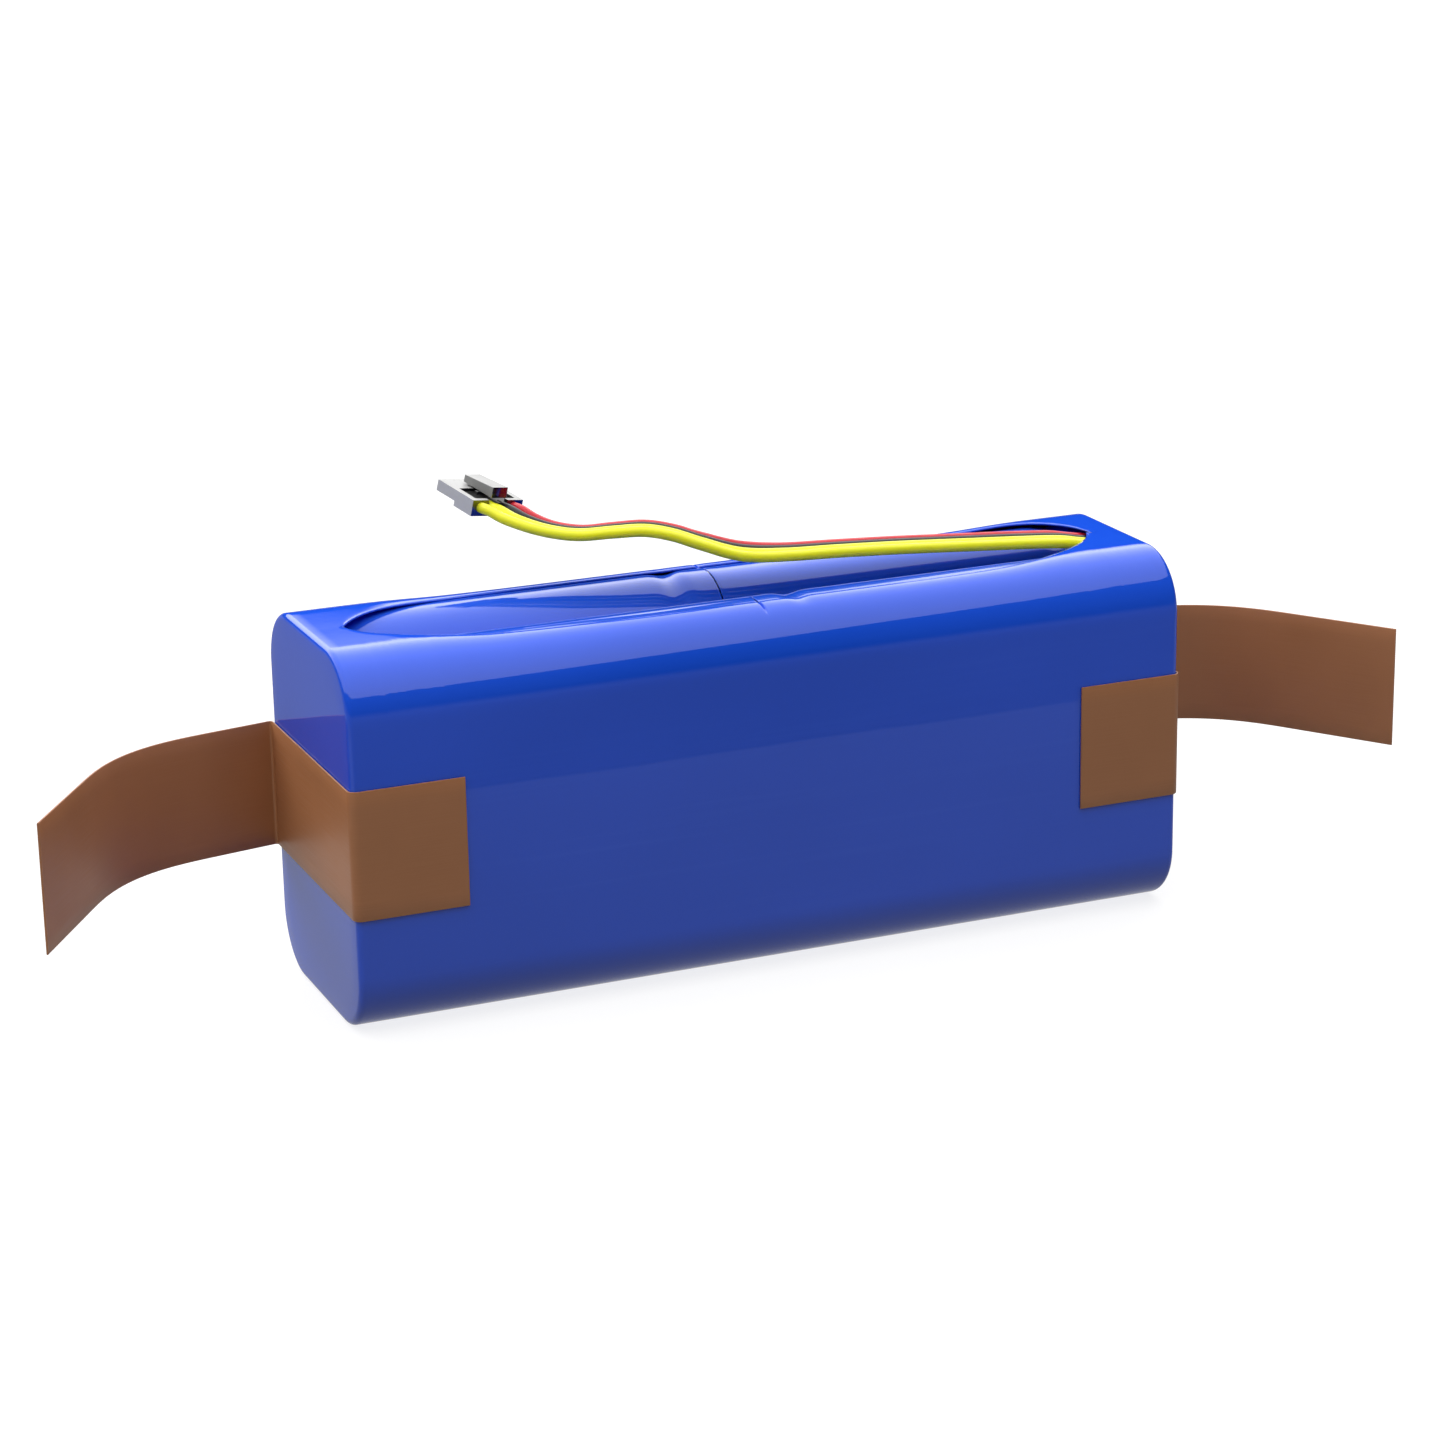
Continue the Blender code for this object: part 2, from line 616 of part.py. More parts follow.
def make_connector():
    """The housing with its recess, pivot ridge and four contact cavities, the latch and contacts."""
    frame = connector_matrix()
    outline = [
        (0.0, CONNECTOR_BOTTOM),
        (NOSE_START, CONNECTOR_BOTTOM),
        (NOSE_START, NOSE_BOTTOM),
        (CONNECTOR_LENGTH, NOSE_BOTTOM),
        (CONNECTOR_LENGTH, CONNECTOR_TOP),
        (0.0, CONNECTOR_TOP),
    ]
    housing = meshed(side_profile("connector_housing", outline, CONNECTOR_WIDTH, HOUSING_WHITE))
    over = 1.0 * MM
    inner = CONNECTOR_WIDTH / 2 - RIM_WIDTH
    notch = LATCH_WIDTH / 2 + MATING_GAP
    above = CONNECTOR_TOP + over
    sunk = RECESS_FLOOR - 0.1 * MM
    cuts = [
        ("recess", (-inner, RECESS_START, RECESS_FLOOR), (inner, RECESS_END, above)),
        ("latch_notch", (-notch, -over, RECESS_FLOOR), (notch, RECESS_START + over, above)),
    ]
    for number in range(4):
        across = WIRE_PITCH_AT_CONNECTOR * (number - 1.5)
        low = (across - CAVITY_WIDTH / 2, -over, -CAVITY_HEIGHT / 2)
        high = (across + CAVITY_WIDTH / 2, CONNECTOR_LENGTH + over, CAVITY_HEIGHT / 2)
        cuts.append((f"cavity_{number + 1}", low, high))
    for name, low, high in cuts:
        cutter = block(name, low, high, collection=CUTTERS)
        cutter.matrix_world = frame
        combine(housing, cutter, "DIFFERENCE")
    ridge_low = (-LATCH_WIDTH / 2, RIDGE_START, sunk)
    ridge_high = (LATCH_WIDTH / 2, RIDGE_END, LATCH_UNDERSIDE - MATING_GAP)
    ridge = block("pivot_ridge", ridge_low, ridge_high, collection=CUTTERS)
    ridge.matrix_world = frame
    combine(housing, ridge, "UNION")

    pivot = bpy.data.objects.new("latch_pivot", None)
    PACK.objects.link(pivot)
    pivot_place = (0.0, (RIDGE_START + RIDGE_END) / 2, LATCH_UNDERSIDE - MATING_GAP)
    pivot.matrix_world = frame @ Matrix.Translation(pivot_place)
    latch_outline = [
        (0.0, LATCH_UNDERSIDE),
        (LATCH_LENGTH, LATCH_UNDERSIDE),
        (LATCH_LENGTH, LATCH_NOSE_TOP),
        (0.0, LATCH_BACK_TOP),
    ]
    latch = side_profile("connector_latch", latch_outline, LATCH_WIDTH, HOUSING_WHITE)
    placed = latch.matrix_world.copy()
    bpy.context.view_layer.update()
    latch.parent = pivot
    latch.matrix_world = placed

    contact_end = CONNECTOR_LENGTH - CONTACT_INSET
    contact_outline = [
        (CONTACT_INSET, -CONTACT_HALF_HEIGHT),
        (contact_end, -CONTACT_HALF_HEIGHT),
        (contact_end, CONTACT_TONGUE_TOP),
        (CONTACT_STEP[1], CONTACT_TONGUE_TOP),
        (CONTACT_STEP[0], CONTACT_HALF_HEIGHT),
        (CONTACT_INSET, CONTACT_HALF_HEIGHT),
    ]
    for number in range(4):
        contact = side_profile(
            f"crimp_contact_{number + 1}", contact_outline, CONTACT_WIDTH, CONTACT_TIN
        )
        across = WIRE_PITCH_AT_CONNECTOR * (number - 1.5)
        contact.matrix_world = frame @ Matrix.Translation((across, 0.0, 0.0)) @ (
            TURN_INTO_END_PLANE.to_matrix().to_4x4()
        )


make_cells()
make_nickel()
make_insulation()
make_circuit_board()
make_thermistor()
make_wrap()
make_straps()
make_wires()
make_connector()
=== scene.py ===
"""Finished looks of a twelve-cell battery pack in a shrunk blue film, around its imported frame.

X runs along the pack, Y from its front to its back and Z up. Skins are surfaces worked out with
numpy, as functions of two parameters on a grid, or as a profile carried along a path.
"""

import math

import bmesh
import bpy
import numpy as np
from mathutils import Matrix, Vector


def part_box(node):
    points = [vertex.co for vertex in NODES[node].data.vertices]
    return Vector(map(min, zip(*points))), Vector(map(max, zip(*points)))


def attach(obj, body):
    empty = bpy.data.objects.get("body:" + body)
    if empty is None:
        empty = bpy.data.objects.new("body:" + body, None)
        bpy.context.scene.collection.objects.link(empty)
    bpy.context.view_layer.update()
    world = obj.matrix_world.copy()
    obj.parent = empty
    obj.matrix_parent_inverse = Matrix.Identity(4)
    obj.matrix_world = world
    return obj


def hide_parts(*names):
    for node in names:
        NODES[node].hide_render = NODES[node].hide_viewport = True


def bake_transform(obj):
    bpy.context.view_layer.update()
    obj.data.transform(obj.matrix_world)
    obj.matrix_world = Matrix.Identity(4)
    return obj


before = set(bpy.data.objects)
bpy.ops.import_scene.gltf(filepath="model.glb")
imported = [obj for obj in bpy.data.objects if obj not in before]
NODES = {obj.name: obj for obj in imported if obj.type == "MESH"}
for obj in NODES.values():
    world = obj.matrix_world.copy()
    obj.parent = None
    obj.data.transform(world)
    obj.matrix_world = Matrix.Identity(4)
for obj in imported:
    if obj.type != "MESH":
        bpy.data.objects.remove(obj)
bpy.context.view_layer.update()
MM = 0.001

# ---------------------------------------------------------------------------------------------
# Sizes
# ---------------------------------------------------------------------------------------------

PACK_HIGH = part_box("shrink_wrap")[1]
HALF_LENGTH = PACK_HIGH.x
HALF_DEPTH = PACK_HIGH.y
HEIGHT = PACK_HIGH.z

# Film wrap.
FILM_WALL = 0.22 * MM
CORNER_RADIUS = 9.3 * MM
END_ROUNDING = 1.0 * MM
OPENING_SHAPE = (6, 0.75)
TOP_OPENING = (61.2 * MM, 11.6 * MM, *OPENING_SHAPE)
TOP_OPENING_OVER_LEAD = (61.9 * MM, 11.6 * MM, 10, 0.5)
BOTTOM_OPENING = (52.0 * MM, 7.5 * MM, *OPENING_SHAPE)
FILM_COLUMNS = 84
CAP_ROWS = 6
FILM_SAG = {-1: 0.55 * MM, 1: 0.8 * MM}
FILM_CURL = {-1: 0.14 * MM, 1: 0.02 * MM}
SAG_FADE = (40.0 * MM, 57.0 * MM)
SAG_REACH = 3.0 * MM
CURL_REACH = 0.35 * MM
JOINT_PLACE = -0.4 * MM
JOINT_DEPTH = 0.42 * MM
JOINT_HALF_WIDTH = 0.19 * MM
JOINT_FADE = (math.radians(23.0), math.radians(35.0))
DENT = {-1: (6.1 * MM, 0.26 * MM), 1: (-6.25 * MM, 0.05 * MM)}
DENT_HALF_WIDTH = 1.4 * MM
DENT_FADE = (math.radians(8.0), math.radians(34.0))

# Cells: the groove's place is counted from a cell's negative end.
SLEEVE_RADIUS = 9.2 * MM
SLEEVE_WALL = 0.12 * MM
SLEEVE_LIP = 0.15 * MM
SLEEVE_PAST_END = 0.08 * MM
CAN_RADIUS = 9.05 * MM
CELL_LENGTH = 65.0 * MM
GROOVE_PLACE = 59.0 * MM
GROOVE_DEPTH = 0.46 * MM
GROOVE_TO_CAP, GROOVE_FROM_CAP = 1.7 * MM, 2.1 * MM
CELL_SIDES = 96

# Straps.
STRAP_THICKNESS = 0.3 * MM
STRAP_OFF_FILM = 0.25 * MM
STRAP_FRONT_LENGTH = 17.1 * MM
CREASE_START = 18.6 * MM
CREASE_RADIUS = 0.55 * MM
TAIL_LENGTH = 56.9 * MM
TAIL_BEND = (9.3 * MM, 38.9 * MM)
TAIL_ANGLES = (math.radians(10.0), math.radians(56.7))

# Lead. The route is the middle line between the second and the third wire.
WIRE_DIAMETER = 1.68 * MM
WIRE_PITCHES = (1.75 * MM, 2.0 * MM)
WIRE_RINGS = 150
BAND_TILT = math.radians(7.0)
WIRE_SIDES = 24
LEAD_ROUTE_MM = (
    (65.1, 0.0, 55.0),
    (62.4, 0.0, 55.6),
    (59.5, 0.0, 56.1),
    (56.0, 0.0, 56.8),
    (50.0, 0.0, 57.4),
    (40.0, 0.0, 58.2),
    (28.7, 0.0, 59.1),
    (18.0, 0.0, 59.8),
    (9.0, 0.1, 60.3),
    (2.0, 0.5, 61.2),
    (-4.0, 1.5, 63.2),
    (-8.0, 2.7, 64.7),
    (-12.0, 4.2, 65.5),
    (-16.5, 6.0, 65.3),
    (-21.0, 8.2, 64.9),
    (-25.0, 10.9, 65.4),
    (-28.2, 14.0, 66.5),
    (-29.8, 16.6, 67.5),
)
WIRES = (
    ("front_yellow_wire", "wire_yellow", (0.97, 0.92, 0.012), (0.99, 0.95, 0.03)),
    ("rear_yellow_wire", "wire_yellow", (0.97, 0.92, 0.012), (0.99, 0.95, 0.03)),
    ("black_wire", "wire_black", (0.006, 0.006, 0.007), (0.012, 0.012, 0.013)),
    ("red_wire", "wire_red", (0.56, 0.012, 0.026), (0.64, 0.02, 0.038)),
)

# Connector, in its own frame: X across it, Y from the wires to the nose and Z up.
CONNECTOR_PLACE = (-30.5 * MM, 18.4 * MM, 67.7 * MM)
CONNECTOR_TURNS = (math.radians(13.2), math.radians(8.6), math.radians(8.9))
WIRE_INSERTION = 1.5 * MM
MOULD_ROUNDING = 0.11 * MM
# The recess's bounds mark where painted shade darkens the moulding.
RECESS_HALF = 3.65 * MM
RECESS_LOW, RECESS_HIGH = 0.5 * MM, 1.1 * MM

# Camera, from its distances to the pack.
CAMERA_PLACE = (-213.976 * MM, -508.392 * MM, 205.802 * MM)
CAMERA_RIGHT = (0.92047578, -0.39041068, -0.01743111)
CAMERA_UP = (0.1312784, 0.26688907, 0.95474405)
CAMERA_LENS = 93.55
CAMERA_SENSOR = 36.0

# Overhead soft box: its edges across and ahead of the pack as the camera looks, and its glow by the
# distance ahead.
SOFTBOX_RIGHT, SOFTBOX_LEFT = 0.74, -2.0
SOFTBOX_NEAR, SOFTBOX_FAR = -0.95, 2.8
SOFTBOX_HEIGHT = 0.8
SOFTBOX_PEAK = 3.3
SOFTBOX_FALL = (
    (-0.95, 1.75), (0.0, 1.9), (0.4, 2.15), (0.9, 2.75), (1.5, 3.3), (2.1, 2.5), (2.7, 0.0),
)
LOOKING_AHEAD = (0.385, 0.923)
LOOKING_RIGHT = (0.923, -0.385)

# Floor, cards near it and world.
DOME_RADIUS = 4.0
DOME_START = 0.1
CARD_HALF = (0.3, 0.125)
CARD_GLOW = 0.6
SHADE_HALF = (0.12, 0.07)
SHADE_GLOW = 0.2
FLOOR_GLOW = 0.83
WORLD_RISE = (-0.05, 0.12, 0.36, 0.0)


def turned_frame(place, turns):
    """A frame at a place, turned about Z, then its own X and its own Y."""
    yaw, pitch, roll = turns
    turn = Matrix.Rotation(yaw, 4, "Z") @ Matrix.Rotation(pitch, 4, "X")
    return Matrix.Translation(place) @ turn @ Matrix.Rotation(roll, 4, "Y")


CONNECTOR = turned_frame(CONNECTOR_PLACE, CONNECTOR_TURNS)


# ---------------------------------------------------------------------------------------------
# Materials
# ---------------------------------------------------------------------------------------------


class Finish:
    """A material under construction: a Principled shader whose inputs come from small node chains."""

    def __init__(self, name, roughness, metallic=0.0, ior=1.5):
        self.material = bpy.data.materials.new(name)
        self.material.use_nodes = True
        self.nodes = self.material.node_tree.nodes
        self.shader = self.nodes["Principled BSDF"]
        self.shader.inputs["Roughness"].default_value = roughness
        self.shader.inputs["Metallic"].default_value = metallic
        self.shader.inputs["IOR"].default_value = ior
        self.coordinates = self.nodes.new("ShaderNodeTexCoord")
        self.bumps = None

    def link(self, source, target):
        self.material.node_tree.links.new(source, target)

    def space(self, scale, uv=False):
        """Object or UV coordinates, stretched by a scale for each axis."""
        mapping = self.nodes.new("ShaderNodeMapping")
        mapping.inputs["Scale"].default_value = scale
        self.link(self.coordinates.outputs["UV" if uv else "Object"], mapping.inputs["Vector"])
        return mapping.outputs["Vector"]

    def noise(self, vector, scale, detail=3.0, distortion=0.0):
        noise = self.nodes.new("ShaderNodeTexNoise")
        noise.inputs["Scale"].default_value = scale
        noise.inputs["Detail"].default_value = detail
        noise.inputs["Distortion"].default_value = distortion
        self.link(vector, noise.inputs["Vector"])
        return noise.outputs["Fac"]

    def spread(self, value, low, high, to_low=0.0, to_high=1.0):
        ranged = self.nodes.new("ShaderNodeMapRange")
        for socket, number in zip(ranged.inputs[1:5], (low, high, to_low, to_high)):
            socket.default_value = number
        self.link(value, ranged.inputs["Value"])
        return ranged.outputs["Result"]

    def mix(self, factor, first, second):
        """A colour between two, each a colour or another chain's output."""
        mix = self.nodes.new("ShaderNodeMix")
        mix.data_type = "RGBA"
        self.link(factor, mix.inputs["Factor"])
        for socket, colour in ((mix.inputs[6], first), (mix.inputs[7], second)):
            if isinstance(colour, tuple):
                socket.default_value = (*colour, 1.0)
            else:
                self.link(colour, socket)
        return mix.outputs[2]

    def colour(self, output):
        self.link(output, self.shader.inputs["Base Color"])

    def roughness(self, value, low, high):
        self.link(self.spread(value, 0.3, 0.7, low, high), self.shader.inputs["Roughness"])

    def bump(self, height, distance, strength=1.0):
        bump = self.nodes.new("ShaderNodeBump")
        bump.inputs["Distance"].default_value = distance
        bump.inputs["Strength"].default_value = strength
        self.link(height, bump.inputs["Height"])
        if self.bumps:
            self.link(self.bumps, bump.inputs["Normal"])
        self.bumps = bump.outputs["Normal"]
        self.link(self.bumps, self.shader.inputs["Normal"])


def shrunk_film(name, deep, bright, roughness):
    """Glossy PVC film: broad tone changes, faint streaks round the pack and a slight ripple."""
    film = Finish(name, roughness)
    tone = film.noise(film.space((14.0, 14.0, 26.0)), 1.0, 2.0)
    streaks = film.noise(film.space((20.0, 700.0, 900.0)), 1.0, 4.0)
    blotched = film.mix(film.spread(tone, 0.35, 0.65), deep, bright)
    streaked = film.mix(film.spread(streaks, 0.56, 0.8, 0.0, 0.12), blotched, (0.03, 0.14, 0.85))
    film.colour(streaked)
    film.roughness(streaks, roughness * 0.8, roughness * 1.25)
    film.bump(film.noise(film.space((30.0, 80.0, 80.0)), 1.0, 2.0), 0.000015, 0.5)
    film.bump(film.noise(film.space((900.0, 900.0, 900.0)), 1.0, 2.0), 0.0000015, 0.5)
    return film.material


def strap_tape():
    """Stiff brown film tape with fine lengthwise fibres, darker and lighter stretches and small pits."""
    tape = Finish("brown_tape", 0.42)
    fibres = tape.noise(tape.space((90.0, 9000.0, 1.0), uv=True), 1.0, 4.0)
    stretches = tape.noise(tape.space((60.0, 40.0, 1.0), uv=True), 1.0, 2.0)
    broad = tape.mix(tape.spread(stretches, 0.3, 0.7), (0.41, 0.165, 0.066), (0.46, 0.188, 0.078))
    tape.colour(tape.mix(tape.spread(fibres, 0.35, 0.75, 0.0, 0.35), broad, (0.48, 0.22, 0.1)))
    tape.roughness(fibres, 0.34, 0.5)
    tape.bump(fibres, 0.00001, 0.5)
    pits = tape.noise(tape.space((3000.0, 3000.0, 1.0), uv=True), 1.0, 2.0)
    tape.bump(pits, 0.000006, 0.5)
    return tape.material


def wire_skin(name, deep, bright):
    """Extruded PVC insulation, bright and slightly translucent: slight tone changes along the wire
    and the die's fine long lines."""
    skin = Finish(name, 0.36, ior=1.42)
    tone = skin.noise(skin.space((120.0, 1.0, 1.0), uv=True), 1.0, 2.0)
    lines = skin.noise(skin.space((60.0, 2500.0, 1.0), uv=True), 1.0, 3.0)
    skin.colour(skin.mix(skin.spread(tone, 0.3, 0.7), deep, bright))
    skin.roughness(lines, 0.26, 0.4)
    skin.bump(lines, 0.000008, 0.5)
    skin.shader.inputs["Subsurface Weight"].default_value = 0.7
    skin.shader.inputs["Subsurface Radius"].default_value = (1.0, 0.9, 0.5)
    skin.shader.inputs["Subsurface Scale"].default_value = 2.2 * MM
    return skin.material


def moulded_housing():
    """Light grey moulding with faint flow marks and a fine grain. The surface attribute "shaded_side"
    darkens it with painted shade. Where the attribute "wire_side" is 1 it is a dark chrome-like mirror:
    painted shade on that side, its faint blue tint a painted reflection of the film; its mirroring of
    the film and wires is rendered."""
    housing = Finish("connector_moulding", 0.34, ior=1.32)
    # Painted shade: faces looking back along the wires get a dark, faintly blue mirror finish instead of
    # the light grey moulding; the blue tint is a painted reflection of the film, the mirroring itself is
    # rendered.
    wire_side = housing.nodes.new("ShaderNodeAttribute")
    wire_side.attribute_name = "wire_side"
    painted_dark_mirror = wire_side.outputs["Fac"]
    flow = housing.noise(housing.space((300.0, 120.0, 300.0)), 1.0, 3.0, 0.6)
    light = housing.mix(housing.spread(flow, 0.3, 0.7), (0.49, 0.49, 0.485), (0.54, 0.54, 0.535))
    # Painted shade: the recess under the latch and the latch's sides and underside are darkened towards
    # near black.
    shade = housing.nodes.new("ShaderNodeAttribute")
    shade.attribute_name = "shaded_side"
    shaded = housing.mix(shade.outputs["Fac"], light, (0.035, 0.035, 0.035))
    housing.colour(housing.mix(painted_dark_mirror, shaded, (0.15, 0.15, 0.19)))
    housing.link(painted_dark_mirror, housing.shader.inputs["Metallic"])
    housing.link(housing.spread(painted_dark_mirror, 0.0, 1.0, 0.34, 0.08), housing.shader.inputs["Roughness"])
    housing.bump(housing.noise(housing.space((900.0, 900.0, 900.0)), 1.0, 2.0), 0.000002, 0.4)
    return housing.material


def drawn_metal(name, deep, bright, roughness, along):
    """Drawn or rolled metal: grain along one axis, with a few dull spots."""
    metal = Finish(name, roughness, 1.0)
    scale = [2500.0, 2500.0, 2500.0]
    scale["xyz".index(along)] = 60.0
    grain = metal.noise(metal.space(tuple(scale)), 1.0, 3.0)
    spots = metal.noise(metal.space((220.0, 220.0, 220.0)), 1.0, 4.0)
    polished = metal.mix(metal.spread(grain, 0.35, 0.65), deep, bright)
    metal.colour(metal.mix(metal.spread(spots, 0.62, 0.72, 0.0, 0.5), polished, deep))
    metal.roughness(grain, roughness * 0.75, roughness * 1.4)
    metal.bump(grain, 0.000006, 0.5)
    return metal.material


def pressed_paper():
    """Insulating paper board: matted fibres in two tones, matt, with a soft tooth."""
    paper = Finish("insulating_paper", 0.85)
    fibres = paper.noise(paper.space((900.0, 900.0, 260.0)), 1.0, 6.0, 1.2)
    flecks = paper.noise(paper.space((1800.0, 1800.0, 1800.0)), 1.0, 3.0)
    felted = paper.mix(paper.spread(fibres, 0.35, 0.65), (0.42, 0.5, 0.3), (0.56, 0.62, 0.42))
    paper.colour(paper.mix(paper.spread(flecks, 0.62, 0.7, 0.0, 0.6), felted, (0.3, 0.34, 0.2)))
    paper.bump(fibres, 0.00003, 0.6)
    return paper.material


def board_lacquer():
    """Green solder resist over woven glass, with the copper's tracks just showing as a lighter green."""
    board = Finish("board_lacquer", 0.35)
    tracks = board.nodes.new("ShaderNodeTexBrick")
    board.link(board.space((1.0, 1.0, 1.0)), tracks.inputs["Vector"])
    tracks.inputs["Scale"].default_value = 160.0
    tracks.inputs["Mortar Size"].default_value = 0.06
    weave = board.noise(board.space((2500.0, 2500.0, 2500.0)), 1.0, 2.0)
    green = board.mix(tracks.outputs["Fac"], (0.012, 0.16, 0.045), (0.03, 0.27, 0.09))
    board.colour(board.mix(board.spread(weave, 0.3, 0.7, 0.0, 0.3), green, (0.01, 0.1, 0.03)))
    board.roughness(weave, 0.28, 0.42)
    board.bump(tracks.outputs["Fac"], 0.00002, 0.5)
    return board.material


def dipped_resin():
    """Black resin with a slightly uneven dipped skin."""
    resin = Finish("bead_resin", 0.25)
    skin = resin.noise(resin.space((500.0, 500.0, 500.0)), 1.0, 3.0)
    resin.colour(resin.mix(resin.spread(skin, 0.3, 0.7), (0.012, 0.012, 0.015), (0.03, 0.03, 0.036)))
    resin.roughness(skin, 0.18, 0.35)
    resin.bump(skin, 0.00006, 0.5)
    return resin.material


FILM = shrunk_film("pack_film", (0.012, 0.09, 0.75), (0.017, 0.102, 0.83), 0.02)
SLEEVE = shrunk_film("cell_sleeve_film", (0.013, 0.085, 0.66), (0.02, 0.1, 0.74), 0.035)
TAPE = strap_tape()
MOULDING = moulded_housing()
CAN_STEEL = drawn_metal("can_steel_drawn", (0.5, 0.5, 0.49), (0.68, 0.68, 0.66), 0.26, "x")
NICKEL = drawn_metal("nickel_strip", (0.5, 0.48, 0.42), (0.7, 0.67, 0.6), 0.3, "z")
CONTACT_TIN = drawn_metal("tinned_contact", (0.55, 0.53, 0.48), (0.75, 0.73, 0.68), 0.28, "y")
PAPER = pressed_paper()
BOARD = board_lacquer()
RESIN = dipped_resin()
GREY_LEAD = wire_skin("grey_lead_skin", (0.22, 0.22, 0.22), (0.32, 0.32, 0.32))


# ---------------------------------------------------------------------------------------------
# Meshes
# ---------------------------------------------------------------------------------------------


def quads(rows, columns, close_rows=False, close_columns=False):
    """The four corners of each cell of a grid, whose last row or column may meet its first again."""
    index = np.arange(rows * columns).reshape(rows, columns)
    if close_rows:
        index = np.concatenate([index, index[:1]])
    if close_columns:
        index = np.concatenate([index, index[:, :1]], axis=1)
    corners = [index[:-1, :-1], index[1:, :-1], index[1:, 1:], index[:-1, 1:]]
    return np.stack(corners, axis=-1).reshape(-1, 4)


def sewn(name, grids, material, closed=(False, False), uv=None, caps=False, sharp=40.0):
    """A mesh object of one or more grids of points, merged where they meet, with its faces outward.
    A cap closes each end of a tube whose rings are the grid's rows."""
    points = []
    faces = []
    start = 0
    for grid in grids:
        rows, columns = grid.shape[:2]
        faces += (quads(rows, columns, *closed) + start).tolist()
        points.append(grid.reshape(-1, 3))
        if caps:
            faces.append(list(range(start, start + columns)))
            faces.append(list(range(start + (rows - 1) * columns, start + rows * columns)))
        start += rows * columns
    mesh = bpy.data.meshes.new(name)
    mesh.from_pydata(np.concatenate(points).tolist(), [], faces)
    if uv is not None:
        rows, columns = uv.shape[:2]
        corners = uv.reshape(-1, 2)[quads(rows, columns)].reshape(-1, 2)
        layer = mesh.uv_layers.new(name="UVMap")
        flat = np.zeros((len(mesh.loops), 2))
        flat[: len(corners)] = corners
        layer.data.foreach_set("uv", flat.ravel())
    body = bmesh.new()
    body.from_mesh(mesh)
    bmesh.ops.remove_doubles(body, verts=body.verts, dist=1e-7)
    bmesh.ops.recalc_face_normals(body, faces=body.faces)
    body.to_mesh(mesh)
    body.free()
    mesh.shade_smooth()
    mesh.set_sharp_from_angle(angle=math.radians(sharp))
    mesh.materials.append(material)
    piece = bpy.data.objects.new(name, mesh)
    bpy.context.scene.collection.objects.link(piece)
    return piece


def settle(piece, body, slot, *nodes):
    """The piece rides on a body and stands for CAD nodes, which it hides. The slot is not used."""
    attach(piece, body)
    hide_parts(*nodes)
    return piece


def smooth_step(value, low, high):
    share = np.clip((value - low) / (high - low), 0.0, 1.0)
    return share * share * (3.0 - 2.0 * share)


# ---------------------------------------------------------------------------------------------
# Film wrap
# ---------------------------------------------------------------------------------------------

FLAT = HALF_DEPTH - CORNER_RADIUS
ARC = CORNER_RADIUS * math.pi / 2
WALL = HEIGHT - 2 * CORNER_RADIUS
GIRTH = 2 * FLAT + 2 * ARC + WALL


def film_section(travel):
    """Half the pack's outline by distance from the middle of its top: flat, quarter circle, wall,
    quarter circle, flat. Gives the distance from the middle plane, the height and the lean of the
    surface, 0 facing up and half a turn facing down."""
    upper = np.clip((travel - FLAT) / CORNER_RADIUS, 0.0, math.pi / 2)
    lower = np.clip((travel - FLAT - ARC - WALL) / CORNER_RADIUS, 0.0, math.pi / 2)
    out = np.clip(travel, 0.0, FLAT) + CORNER_RADIUS * (np.sin(upper) - 1.0 + np.cos(lower))
    out = out - np.clip(travel - GIRTH + FLAT, 0.0, FLAT)
    height = HEIGHT - CORNER_RADIUS * (1.0 - np.cos(upper) + np.sin(lower))
    height = height - np.clip(travel - FLAT - ARC, 0.0, WALL)
    return out, height, upper + lower


def opening_travel(x, opening):
    """How far round from the middle an opening's edge lies. Its half width at x is
    widest * (1 - |x / half length|^sharpness)^fullness."""
    half_length, widest, sharpness, fullness = opening
    share = np.clip(np.abs(x) / half_length, 0.0, 1.0)
    half = widest * (1.0 - share**sharpness) ** fullness
    beyond = np.clip((half - FLAT) / CORNER_RADIUS, 0.0, 1.0)
    return np.where(half < FLAT, half, FLAT + CORNER_RADIUS * np.arcsin(beyond))


def film_stations():
    """The film's rows from the left end's middle to the right one's: place along X, how far the end
    rounding has drawn the outline in, and the share of the way over the flat end."""
    near_tips = TOP_OPENING[0] * (1.0 - np.linspace(0.0, 0.4, 14) ** 3)
    lead_tip = TOP_OPENING_OVER_LEAD[0] * (1.0 - np.linspace(0.0, 0.4, 14) ** 3)
    under_tips = BOTTOM_OPENING[0] * (1.0 - np.linspace(0.0, 0.4, 10) ** 3)
    straight = HALF_LENGTH - END_ROUNDING
    tube = np.concatenate([
        np.linspace(-straight, straight, 96),
        near_tips, -near_tips, lead_tip, under_tips, -under_tips,
        np.linspace(-0.9 * MM, 0.9 * MM, 41),
        np.linspace(-9.0 * MM, 9.0 * MM, 60),
    ])
    tube = np.unique(np.round(tube, 7))
    tube = tube[np.concatenate([[True], np.diff(tube) > 0.03 * MM])]
    bend = np.linspace(0.0, math.pi / 2, 8)[1:]
    over = np.linspace(0.0, 1.0, CAP_ROWS + 1)[1:]
    end_x = np.concatenate([straight + END_ROUNDING * np.sin(bend), np.full(CAP_ROWS, HALF_LENGTH)])
    inset = np.concatenate([END_ROUNDING * (1.0 - np.cos(bend)), np.full(CAP_ROWS, END_ROUNDING)])
    cap = np.concatenate([np.zeros(len(bend)), over])
    x = np.concatenate([-end_x[::-1], tube, end_x])
    inset = np.concatenate([inset[::-1], np.zeros(len(tube)), inset])
    cap = np.concatenate([cap[::-1], np.zeros(len(tube)), cap])
    return x, inset, cap


